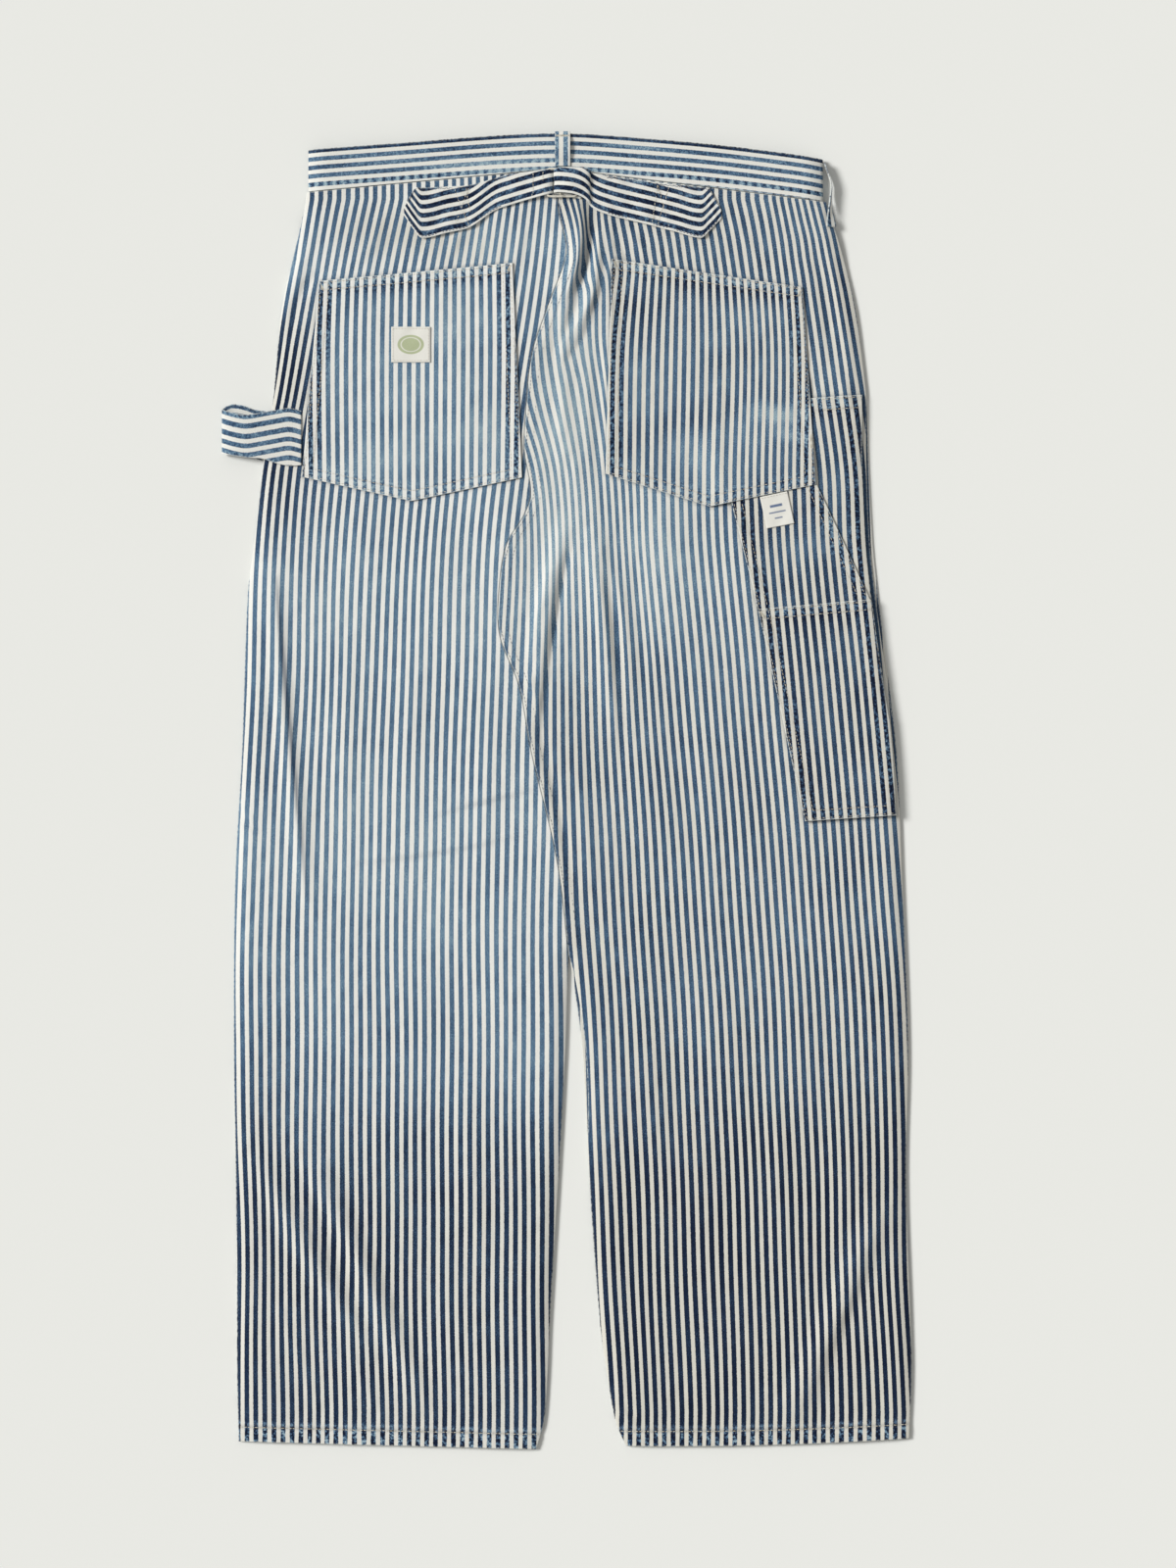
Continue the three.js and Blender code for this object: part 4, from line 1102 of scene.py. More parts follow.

# Dark lines of painted shade along creases and press marks.
CREASE_SHADE_LINES = creases(
    (-243, 180, -233, 68, -216, -94, 1.7, 3.6, 0.4), (-20, 2, -67, -9, -114, -22, 0.50, 4.5),
    (-36, -37, -108, -52, -180, -61, 0.42, 4.5), (22, 488, 12, 436, -6, 386, 0.70, 8),
    (34, 470, 26, 410, -6, 360, 0.52, 7), (-12, 104, -23, 62, -22, 8, 0.90, 4.5),
)


def washed_and_fold_lit(x: Array, y: Array, is_left: bool) -> Array:
    """How faded a panel is: by its wash, with painted light on the ridges and painted shade in the
    creases.

    Args:
        x, y: points on the panel.
        is_left: whether it is on the left.

    Returns:
        None for deep indigo, one for almost white.
    """
    fade = (LEFT_WASH if is_left else RIGHT_WASH)(x, y)
    seat = 0.10 * smooth((y - 150) / 120)
    # Painted light on the fold ridges and painted shade in their valleys.
    ridges = np.clip(LAY.drape(x, y), -3, 3)
    return fade - 0.03 - seat + 0.03 * ridges + 0.03 * waves(x, y, 90, 21, 1.5)


def dullness_and_shade(fade: Array, is_left: bool) -> Array:
    """How dull the undyed stripes are: least where the cloth is most washed, and more on the right
    leg, which is painted shade.
    """
    return clamp((0.75 if is_left else 1.15) - 1.25 * fade)


@dataclass
class LegPanel:
    """One front or back, from its hem to the waist seam."""

    name: str
    is_left: bool
    is_back: bool
    columns: int
    rows: int
    under: str
    flat: tuple[float, float]
    area: float
    hem_turn: float = 12.4
    hem_thickness: float = 0.55
    rope_slant: float = 0.9
    row_width: float = 240.0
    hem_thread_lift: float = 0.12
    seam_thread_lift: float = 0.05

    def hem(self) -> tuple[float, float, float]:
        """The hem's height at the side, at the inner leg, and how far it sags between."""
        return (-544.0, -550.6, 0.0) if self.is_left else (-541.5, -547.8, 2.4)

    def grid(self) -> tuple[Array, Array, Array, Array]:
        """Points of the panel, between its side edge and its inner edge.

        Rows are straight from one edge to the other. Near the hem they take its sag, and near the
        waist they bend to the waist seam.

        Returns:
            x and y of every point, its distance from the hem, and from the nearest edge.
        """
        side_hem, inner_hem, sag = self.hem()
        front_top = float(LAY.waist_seam(np.array(0.0))) - BAND_DIP
        middle_top = WAIST_SEAT_Y if self.is_back else front_top
        side_top = WAIST_LEFT_Y if self.is_left else WAIST_RIGHT_Y
        tall = middle_top - inner_hem
        t = edge_steps(self.rows, tall)[:, None]
        s = edge_steps(self.columns, self.row_width)[None]
        inner_y = lerp(inner_hem, middle_top, t)
        side_y = lerp(side_hem, side_top, t)
        inner_x = LAY.inner(inner_y, self.is_left, self.is_back)
        if self.is_left:
            side_x = SIDE_LEFT(side_y)
        else:
            side_x = LAY.back_side_right(side_y) if self.is_back else SIDE_RIGHT(side_y)
        left = (side_x, side_y) if self.is_left else (inner_x, inner_y)
        right = (inner_x, inner_y) if self.is_left else (side_x, side_y)
        x = lerp(left[0], right[0], s)
        height = lerp(left[1], right[1], s)
        tops = (side_top, middle_top) if self.is_left else (middle_top, side_top)
        waist = LAY.waist_seam(x) - (0.0 if self.is_back else LAY.front_dip(x))
        bend = clamp(1 - (1 - t) * END_SHARE) * (waist - lerp(tops[0], tops[1], s))
        y = height + bend - clamp(1 - t * END_SHARE) * sag * 4 * s * (1 - s)
        to_side = np.minimum(s, 1 - s) * (right[0] - left[0])
        edge = np.minimum(to_side, np.minimum(t, 1 - t) * tall)
        return x, y, t * tall + 0 * x, edge

    def hem_relief(self, x: Array, up: Array) -> Array:
        """The turned hem: thicker up to its stitches, drawn in along them, with slanting ropes."""
        turned = self.hem_thickness * smooth((self.hem_turn + 1.2 - up) / 1.8)
        drawn = 0.42 * bump(up - self.hem_turn, 2.0)
        slant = x + self.rope_slant * up
        rope = np.sin(slant / 1.25 + 1.6 * np.sin(x / 11)) * smooth((self.hem_turn - up) / 4)
        pull = np.sin(x / 1.5 + 1.2 * np.sin(x / 7)) * bump(up - self.hem_turn, 6)
        return turned - drawn + 0.22 * rope * smooth(up / 2) + 0.16 * pull

    def upper(self, x: Array, y: Array, up: Array) -> Array:
        """Height of the panel's upper side."""
        if self.is_back:
            return LAY.back_top(x, y) + self.hem_relief(x, up)
        return LAY.waist_lift(x, y) + CLOTH

    def mesh(self) -> MeshData:
        """The panel as a wall of cloth with rounded edges.

        Returns:
            Its points, faces, stripes and wear.
        """
        x, y, up, edge = self.grid()
        top = self.upper(x, y, up)
        upper = np.stack([x, y, top - rounded(edge)], -1)
        bottom = top - CLOTH - (self.hem_relief(x, up) if self.is_back else 0.0)
        lower = np.stack([x, y, bottom], -1)
        if self.is_back:
            number = (LEFT_STRIPES if self.is_left else RIGHT_STRIPES)(x - LAY.drawn(x, y), y)
        else:
            lean = 0.03 * (y - CROTCH_Y) * (1 if self.is_left else -1)
            number = (x - lean) / STRIPE_PITCH
        return shell(upper, lower, np.stack([number, y * MM], -1), self.wear(x, y, up, edge))

    def wear(self, x: Array, y: Array, up: Array, edge: Array) -> dict[str, Array]:
        """Wash, roped hem, rubbed rims, and painted shade in creases, at the hem row, along the
        seams and beside pockets.

        Args:
            x, y: points on the panel.
            up: their distance from the hem.
            edge: their distance from the nearest edge.

        Returns:
            The wear masks by name.
        """
        above = up - self.hem_turn
        fade = washed_and_fold_lit(x, y, self.is_left)
        beads = np.sin(2 * math.pi * (x + self.rope_slant * up) / 17 + 1.6 * np.sin(x / 31))
        in_hem = smooth(-above / 1.5)
        roped = bump(np.maximum(above, 0.0), 7) * smooth(up / 1.0 + 0.4)
        masks = {
            "fade": fade + 0.42 * bump(above - 2.4, 2.2) + in_hem * (0.14 + 0.36 * beads),
            "dull": dullness_and_shade(fade, self.is_left),
            "rope": roped,
            "rub": np.maximum(0.75 * bump(edge, 0.9), 0.35 * bump(above - 1.6, 1.6)),
            # Painted shade along the drawn hem row.
            "painted_shade": 0.8 * bump(above, 0.9),
        }
        if self.is_back:
            seam = np.abs(x - SEAT_SEAM(y) - 4) - 4
            seat = y > CROTCH_Y
            # Painted shade on the seat, by greying the undyed stripes.
            masks["dull"] = masks["dull"] + sum(stroke(x, y) for stroke in SEAT_SHADE)
            masks["rope"] = np.maximum(roped, 0.12 * bump(np.maximum(seam, 0), 5) * seat)
            # Painted shade: at the hem row, beside pockets, in crease valleys, along crease lines
            # and at the seat seam's edges.
            masks["painted_shade"] = np.maximum.reduce([
                masks["painted_shade"],
                pocket_shade(x, y),
                clamp(-0.14 * LAY.drape(x, y)),
                sum(line(x, y) for line in CREASE_SHADE_LINES),
                0.5 * bump(seam - 0.2, 1.0) * seat,
            ])
        return masks

    def hem_row(self) -> Array:
        """The path of the hem stitches, on the cloth."""
        x, y, up, _ = self.grid()
        row = int(np.argmin(np.abs(up[:, 0] - self.hem_turn)))
        shift = self.hem_turn - up[row]
        path_x, path_y = x[row], y[row] + shift
        path_z = self.upper(path_x, path_y, np.full(path_x.shape, self.hem_turn))
        return np.stack([path_x, path_y, path_z + self.hem_thread_lift], -1)[4:-4]

    def seam_row(self, off: float) -> Array:
        """The path of a seat seam row, a distance right of the seam."""
        y = np.linspace(CROTCH_Y + 8, 514, 420)
        x = SEAT_SEAM(y) + off
        return np.stack([x, y, LAY.back_top(x, y) + self.seam_thread_lift], -1)


@dataclass
class Patch:
    """A flat patch that lies on the back and on other patches, with turned and stitched edges."""

    left: Callable[[Array], Array]
    right: Callable[[Array], Array]
    top: Callable[[Array], Array]
    bottom: Callable[[Array], Array]
    stripes: Field
    fade: float
    # How dull the undyed stripes are; the high values on the right-hand patches are painted shade.
    dull: float
    size: tuple[float, float]
    under: tuple["Patch", ...] = ()
    reach: float = 2.0
    thickness: float = CLOTH
    hem: float = 8.0
    turn: float = 8.5
    step: float = 1.8
    edge_row: float = 1.9
    top_row: float = 1.8
    thread_lift: float = 0.1
    spots: tuple[Crease, ...] = ()

    def inside(self, x: Array, y: Array) -> tuple[Array, Array, Array]:
        """Distance of points inside the side edges, the top and the bottom; below none outside."""
        left, right = self.left(y), self.right(y)
        share = clamp((x - left) / np.maximum(right - left, 0.1))
        side = np.minimum(x - left, right - x)
        return side, self.top(share) - y, y - self.bottom(share)

    def cover(self, x: Array, y: Array, reach: float) -> Array:
        """One over the patch, easing to none within a reach outside it."""
        side, top, bottom = self.inside(x, y)
        return smooth(1 + np.minimum(np.minimum(side, top), bottom) / reach)

    def underside(self, x: Array, y: Array) -> Array:
        """Height of the patch's lower side, over the back and the patches under it."""
        lift = sum(
            (patch.thickness + LAY_GAP) * patch.cover(x, y, self.reach) for patch in self.under
        )
        return LAY.back_top(x, y) + LAY_GAP + lift

    def relief(self, x: Array, y: Array) -> Array:
        """Turned edges: thicker by the sides, the bottom and the hem, and drawn in at each row."""
        side, top, bottom = self.inside(x, y)
        edge = np.minimum(side, bottom)
        in_turn = smooth((self.turn + 1 - edge) / 2)
        turned = 0.4 * np.maximum(in_turn, smooth((self.hem + 1.5 - top) / 2))
        rows = bump(edge - self.edge_row, 1.1) + bump(edge - self.turn, 1.3)
        rows = rows + bump(top - self.hem, 1.6)
        ropes = np.sin((x + y) / 1.2 + 1.5 * np.sin((x - y) / 9)) * bump(np.maximum(edge - 5, 0), 6)
        hem_ropes = np.sin(x / 1.25 + 1.5 * np.sin(x / 8)) * bump(top - self.hem * 0.6, 9)
        return turned - 0.22 * rows + 0.13 * ropes + 0.16 * hem_ropes

    def surface(self, x: Array, y: Array) -> Array:
        """Height of the patch's upper side."""
        return self.underside(x, y) + self.thickness + self.relief(x, y)

    def mesh(self) -> MeshData:
        """The patch as a wall of cloth with rounded edges.

        Returns:
            Its points, faces, stripes and wear.
        """
        width, height = self.size
        s = edge_steps(int(width / self.step), width)[None]
        t = edge_steps(int(height / self.step), height)[:, None]
        y = lerp(self.bottom(s), self.top(s), t)
        x = lerp(self.left(y), self.right(y), s)
        side, top, bottom = self.inside(x, y)
        edge = np.maximum(np.minimum(np.minimum(side, top), bottom), 0.0)
        upper = np.stack([x, y, self.surface(x, y) - rounded(edge)], -1)
        lower = np.stack([x, y, self.underside(x, y)], -1)
        return shell(upper, lower, self.uv(x, y, s, t), self.wear(x, y, side, top, bottom))

    def uv(self, x: Array, y: Array, s: Array, t: Array) -> Array:
        """Stripe number and place along the grain."""
        return np.stack([self.stripes(x, y), y * MM + 0 * s * t], -1)

    def wear(self, x: Array, y: Array, side: Array, top: Array, bottom: Array) -> dict[str, Array]:
        """Rubbed rims, mottled turned edges, and painted shade in the drawn rows.

        Args:
            x, y: points on the patch.
            side, top, bottom: their distances inside its edges.

        Returns:
            The wear masks by name.
        """
        edge = np.minimum(side, bottom)
        rim = np.minimum(edge, top)
        by_side = bump(np.maximum(side - 8, 0), 9)
        by_bottom = bump(np.maximum(bottom - 8, 0), 9)
        in_hem = smooth((self.hem + 1 - top) / 1.5)
        below_hem = bump(np.maximum(top - self.hem - 2, 0), 9) * (1 - in_hem)
        rows = bump(edge - self.edge_row, 1.5) + bump(edge - self.turn, 2.0)
        rows = rows + bump(top - self.hem, 2.0)
        fade = self.fade + 0.06 * waves(x, y, 55, 5) + sum(spot(x, y) for spot in self.spots)
        fade = fade - by_side * (0.10 + 0.10 * waves(x, y, 12, 6))
        fade = fade + 0.12 * by_bottom * (1 - by_side)
        rope = np.maximum(by_side, bump(np.maximum(top - self.hem - 1, 0), 5))
        return {
            "fade": fade + 0.16 * in_hem - 0.16 * below_hem - 0.22 * rows,
            "dull": self.dull + 0 * edge,
            "rope": 0.8 * np.maximum(rope, 0.6 * by_bottom),
            "rub": 0.9 * bump(rim, 1.0),
            # Painted shade in the drawn rows.
            "painted_shade": 0.25 * np.maximum(bump(edge - self.turn, 1.0), bump(top - self.hem, 1.1)),
        }

    def lift(self, x: Array, y: Array) -> Array:
        """Puts points on the patch's upper side."""
        return np.stack([x, y, self.surface(x, y) + self.thread_lift], -1)

    def hem_row(self, drop: float) -> Array:
        """A row along the top, a distance below it."""
        s = np.linspace(0.02, 0.98, 90)
        y = self.top(s) - drop
        return self.lift(lerp(self.left(y), self.right(y), s), y)

    def side_row(self, inset: float, is_left: bool, drop: float = 1.0) -> Array:
        """A row down one side, a distance inside it."""
        share = np.full(140, 0.0 if is_left else 1.0)
        y = np.linspace(self.top(share)[0] - drop, self.bottom(share)[0] + inset, 140)
        x = self.left(y) + inset if is_left else self.right(y) - inset
        return self.lift(x, y)

    def bottom_row(self, inset: float) -> Array:
        """A row along the bottom, a distance above it."""
        width = self.size[0]
        s = np.linspace(inset / width, 1 - inset / width, 120)
        y = self.bottom(s) + inset
        return self.lift(lerp(self.left(y), self.right(y), s), y)

    def tack(self, is_left: bool, length: float = 6.0) -> Array:
        """A short bar of close stitches, slanting in from a top corner."""
        share = np.full(8, 0.0 if is_left else 1.0)
        step = np.linspace(0.8, length, 8)
        y = self.top(share) - 1.2 - step
        x = self.left(y) + 1 + step * 0.5 if is_left else self.right(y) - 1 - step * 0.5
        return self.lift(x, y)


def level(place: float) -> Callable[[Array], Array]:
    """An edge that stays at one place."""
    return lambda t: place + 0 * t


def line_between(low: float, high: float) -> Callable[[Array], Array]:
    """A straight line by its height at both ends of a share."""
    return lambda s: lerp(low, high, s)


def edge_between(top: tuple[float, float], bottom: tuple[float, float]) -> Callable[[Array], Array]:
    """A straight edge's x by height, from its two ends."""
    return lambda y: lerp(bottom[0], top[0], (y - bottom[1]) / (top[1] - bottom[1]))


def five_sided(
    corners: tuple[tuple[float, float], ...], point: float, drop: float, **facts: object
) -> Patch:
    """A back pocket: straight sides and a bottom that comes to a blunt point.

    Args:
        corners: top left, top right, bottom left and bottom right.
        point: where the point is along the bottom, as a share.
        drop: how far the point hangs down.
        facts: the patch's other values.

    Returns:
        The pocket.
    """
    top_left, top_right, bottom_left, bottom_right = corners

    def low(s: Array) -> Array:
        """The bottom edge, which hangs down in two straight lines to its point."""
        hang = drop * np.where(s < point, s / point, (1 - s) / (1 - point))
        return lerp(bottom_left[1], bottom_right[1], s) - hang

    return Patch(
        left=edge_between(top_left, bottom_left),
        right=edge_between(top_right, bottom_right),
        top=line_between(top_left[1], top_right[1]),
        bottom=low,
        **facts,
    )


TOOL_LEFT = Track(((-25.4, 198.9), (151.7, 159.5), (238.6, 138.0), (332.0, 115.0)))


def tool_right(y: Array) -> Array:
    """The tool pocket's right edge, just inside the side seam."""
    return LAY.back_side_right(y) - 3.6


def slant_right(y: Array) -> Array:
    """The slanting mouth of the middle layer, down to the side seam."""
    return np.minimum(209.5 + (254.2 - y) * 0.463, tool_right(y))


TOOL_BOTTOM = line_between(-25.4, -20.5)
TOOL_DEEP = Patch(
    TOOL_LEFT, tool_right, line_between(322, 331), TOOL_BOTTOM, RIGHT_STRIPES,
    fade=0.28, dull=0.9, size=(110, 352), hem=10.5,
)
TOOL_SLANT = Patch(
    TOOL_LEFT, slant_right, level(275.0), TOOL_BOTTOM, RIGHT_STRIPES,
    fade=0.28, dull=0.9, size=(90, 297), under=(TOOL_DEEP,), hem=0.5,
    spots=creases(
        (176, 236, 190, 200, 200, 168, 0.12, 12), (216, 236, 228, 205, 243, 172, 0.26, 8),
    ),
)
TOOL_LOW = Patch(
    TOOL_LEFT, tool_right, line_between(151.7, 160), TOOL_BOTTOM, RIGHT_STRIPES,
    fade=0.23, dull=0.9, size=(90, 180), under=(TOOL_DEEP, TOOL_SLANT), hem=8.4,
    spots=creases(
        (170, 142, 178, 100, 186, 58, 0.30, 7), (206, 96, 214, 60, 232, 20, 0.10, 22),
        (262, 96, 268, 50, 272, 0, 0.14, 12),
    ),
)
POCKET_LEFT = five_sided(
    ((-207, 426), (-45.5, 441), (-221.4, 262.3), (-37.5, 261.8)), 0.5, 20.0,
    stripes=LEFT_POCKET_STRIPES, fade=0.58, dull=0.1, size=(172, 185), reach=26.0,
    spots=creases(
        (-204, 412, -213, 350, -218, 285, -0.16, 22),
        (-196, 420, -130, 424, -62, 432, -0.14, 16), (-118, 390, -108, 340, -104, 290, 0.10, 40),
        (-178, 330, -170, 300, -160, 270, 0.10, 18),
    ),
)
POCKET_RIGHT = five_sided(
    ((37.5, 444.4), (196.8, 420.7), (32.2, 265), (207.9, 255.8)), 0.495, 23.0,
    stripes=RIGHT_POCKET_STRIPES, fade=0.42, dull=0.7, size=(168, 185), reach=26.0,
    under=(TOOL_DEEP, TOOL_SLANT),
    spots=creases(
        (146, 324, 178, 313, 206, 319, 0.36, 13), (168, 300, 188, 297, 208, 294, 0.26, 9),
        (92, 316, 106, 280, 132, 254, 0.20, 24), (50, 424, 62, 396, 64, 350, -0.12, 26),
        (80, 424, 130, 416, 184, 410, -0.16, 15),
    ),
)


@dataclass
class Label(Patch):
    """A small woven label, whose pattern runs from none to one across it."""

    def relief(self, x: Array, y: Array) -> Array:
        """A faint cockle and folded ends."""
        _, top, bottom = self.inside(x, y)
        return 0.12 * bump(np.minimum(top, bottom), 3) + 0.05 * waves(x, y, 11, 9)

    def uv(self, x: Array, y: Array, s: Array, t: Array) -> Array:
        """Shares across and up the label."""
        return np.stack([s + 0 * t, t + 0 * s], -1)


POCKET_LABEL = Label(
    level(-146.7), level(-114.2), level(387.6), level(357.9), RIGHT_STRIPES,
    fade=0.5, dull=0, size=(32.5, 29.7), under=(POCKET_LEFT,), thickness=LABEL_CLOTH, step=1.0,
)
TAB_LABEL = Label(
    lambda y: 160 + (250 - y) * 0.22, lambda y: 184 + (250 - y) * 0.22,
    line_between(245.2, 250.2), line_between(219, 223.4), RIGHT_STRIPES,
    fade=0.5, dull=0, size=(24, 27), under=(TOOL_DEEP, TOOL_SLANT), thickness=LABEL_CLOTH, step=1.0,
)


def pocket_shade(x: Array, y: Array) -> Array:
    """Painted shade, as darker cloth, just outside the pockets' edges."""
    shade = np.zeros(x.shape)
    for patch in (POCKET_LEFT, POCKET_RIGHT, TOOL_DEEP):
        side, top, bottom = patch.inside(x, y)
        outside = -np.minimum(np.minimum(side, top), bottom)
        near = bump(np.maximum(outside, 0.0), 3.0) * (outside > -4)
        shade = np.maximum(shade, 0.75 * near)
    return shade


@dataclass
class Backs:
    """The two fronts and the two backs, with their hems and the seat seam."""

    panels: tuple[LegPanel, ...] = (
        LegPanel("front_left", True, False, 44, 130, "pale_ground", (0.285, 1.075), 0.279),
        LegPanel("front_right", False, False, 44, 130, "pale_ground", (0.285, 1.070), 0.276),
        LegPanel("back_left", True, True, 112, 376, "front_left_cloth", (0.300, 1.085), 0.266),
        LegPanel("back_right", False, True, 118, 376, "front_right_cloth", (0.330, 1.085), 0.300),
    )
    hem_sewing: Sewing = Sewing()
    seat_sewing: Sewing = Sewing(width=0.5, height=0.36)

    def build(self, finishes: Finishes) -> None:
        """Makes the four panels and the stitches on them.

        Args:
            finishes: the garment's materials.
        """
        pieces = [make_cloth(panel.mesh(), panel.name, finishes.denim) for panel in self.panels]
        hems = [panel.hem_row() for panel in self.panels if panel.is_back]
        hem_rows = self.hem_sewing.sew("hem_stitches", hems, 60, finishes.pale_thread)
        seat = [self.panels[-1].seam_row(off) for off in SEAT_ROWS]
        seat_rows = self.seat_sewing.sew("seat_stitches", seat, 70, finishes.dark_thread)


@dataclass
class Pockets:
    """Back pockets, the tool pocket's three layers and the labels, each with its stitches."""

    plan: tuple[tuple[str, Patch, str, tuple[float, float], float], ...] = (
        ("tool_pocket_deep", TOOL_DEEP, "back_right_cloth", (0.145, 0.370), 0.034),
        ("tool_pocket_slant", TOOL_SLANT, "tool_pocket_deep_cloth", (0.125, 0.310), 0.023),
        ("tool_pocket_low", TOOL_LOW, "tool_pocket_slant_cloth", (0.110, 0.195), 0.0175),
        ("back_pocket_left", POCKET_LEFT, "back_left_cloth", (0.200, 0.205), 0.034),
        ("back_pocket_right", POCKET_RIGHT, "back_right_cloth", (0.195, 0.205), 0.034),
    )
    sewing: Sewing = Sewing(width=0.52, height=0.36)
    label_sewing: Sewing = Sewing(pitch=2.4, length=1.8, width=0.4, height=0.3)
    edge_tack: tuple[int, int] = (104, 115)
    label_row: float = 1.6
    label_side_row: float = 1.4

    def build(self, finishes: Finishes) -> None:
        """Makes every patch, its rows of stitches and its tacks.

        Args:
            finishes: the garment's materials.
        """
        pieces = {
            name: make_cloth(patch.mesh(), name, finishes.denim) for name, patch, *_ in self.plan
        }
        threads = {
            "back_pocket_left": self.sew_back_pocket("back_pocket_left", POCKET_LEFT, finishes),
            "back_pocket_right": self.sew_back_pocket("back_pocket_right", POCKET_RIGHT, finishes),
            "tool_pocket_low": self.sew_tool_pocket(finishes),
        }
        self.labels(finishes)

    def sew_back_pocket(
        self, name: str, patch: Patch, finishes: Finishes
    ) -> list[bpy.types.Object]:
        """Double rows round a back pocket and on its hem, with tacks at both corners.

        Args:
            name: the pocket's name.
            patch: its shape.
            finishes: the garment's materials.

        Returns:
            The one piece of stitches.
        """
        insets = (patch.edge_row, patch.turn)
        paths = [patch.side_row(inset, left, 2.0) for inset in insets for left in (True, False)]
        paths += [patch.bottom_row(inset) for inset in insets]
        paths += [patch.hem_row(drop) for drop in (patch.top_row, patch.hem)]
        tacks = [patch.tack(left) for left in (True, False)]
        if patch is POCKET_RIGHT:
            tacks.append(patch.side_row(1.2, False)[slice(*self.edge_tack)])
        others = tuple((tack, Run.TACK) for tack in tacks)
        pale = finishes.pale_thread
        return [self.sewing.sew(f"{name}_stitches", paths, 100, pale, others=others)]

    def sew_tool_pocket(self, finishes: Finishes) -> list[bpy.types.Object]:
        """Double rows on all three layers of the tool pocket where they show, and one tack.

        Args:
            finishes: the garment's materials.

        Returns:
            The one piece of stitches.
        """
        low = TOOL_LOW
        insets = (low.edge_row, low.turn)
        paths = [low.side_row(inset, True) for inset in insets]
        paths += [low.bottom_row(inset) for inset in insets]
        paths += [low.hem_row(drop) for drop in (low.top_row, low.hem)]
        paths += [self.slant_row(inset) for inset in (2.2, 9.0)]
        paths += [self.upper_left_row(inset) for inset in insets]
        paths += [self.deep_hem_row(drop) for drop in (low.top_row, TOOL_DEEP.hem)]
        tack = ((low.tack(True), Run.TACK),)
        pale = finishes.pale_thread
        return [self.sewing.sew("tool_pocket_stitches", paths, 140, pale, others=tack)]

    def slant_row(self, inset: float) -> Array:
        """A row beside the slanting mouth, down to the low layer's hem."""
        y = np.linspace(252, 163, 60)
        return TOOL_SLANT.lift(slant_right(y) - inset, y)

    def upper_left_row(self, inset: float) -> Array:
        """A row down the middle layer's left edge, down to the low layer."""
        y = np.linspace(240, 155, 50)
        return TOOL_SLANT.lift(TOOL_LEFT(y) + inset, y)

    def deep_hem_row(self, drop: float) -> Array:
        """A row below the deep layer's top edge, where it shows beside the back pocket."""
        s = np.linspace(0.74, 0.98, 30)
        y = TOOL_DEEP.top(s) - drop
        return TOOL_DEEP.lift(lerp(TOOL_DEEP.left(y), TOOL_DEEP.right(y), s), y)

    def labels(self, finishes: Finishes) -> None:
        """The pocket's label, sewn on all sides, and the tool pocket's, sewn along its top.

        Args:
            finishes: the garment's materials.
        """
        label = POCKET_LABEL
        inset = self.label_row
        around = [label.hem_row(inset), label.bottom_row(inset)]
        around += [label.side_row(self.label_side_row, left, inset) for left in (True, False)]
        top = [TAB_LABEL.hem_row(self.label_side_row)]
        plan = (
            ("pocket_label", label, finishes.pocket_label, around, 180, (0.036, 0.036), 0.00118,
             "back_pocket_left_cloth"),
            ("tab_label", TAB_LABEL, finishes.tab_label, top, 190, (0.026, 0.032), 0.00078,
             "tool_pocket_slant_cloth"),
        )
        for name, patch, finish, paths, seed, flat, area, under in plan:
            piece = make_cloth(patch.mesh(), name, finish, "label")
            sewn = self.label_sewing.sew(
                f"{name}_stitches", paths, seed, finishes.pale_thread, slot="label"
            )


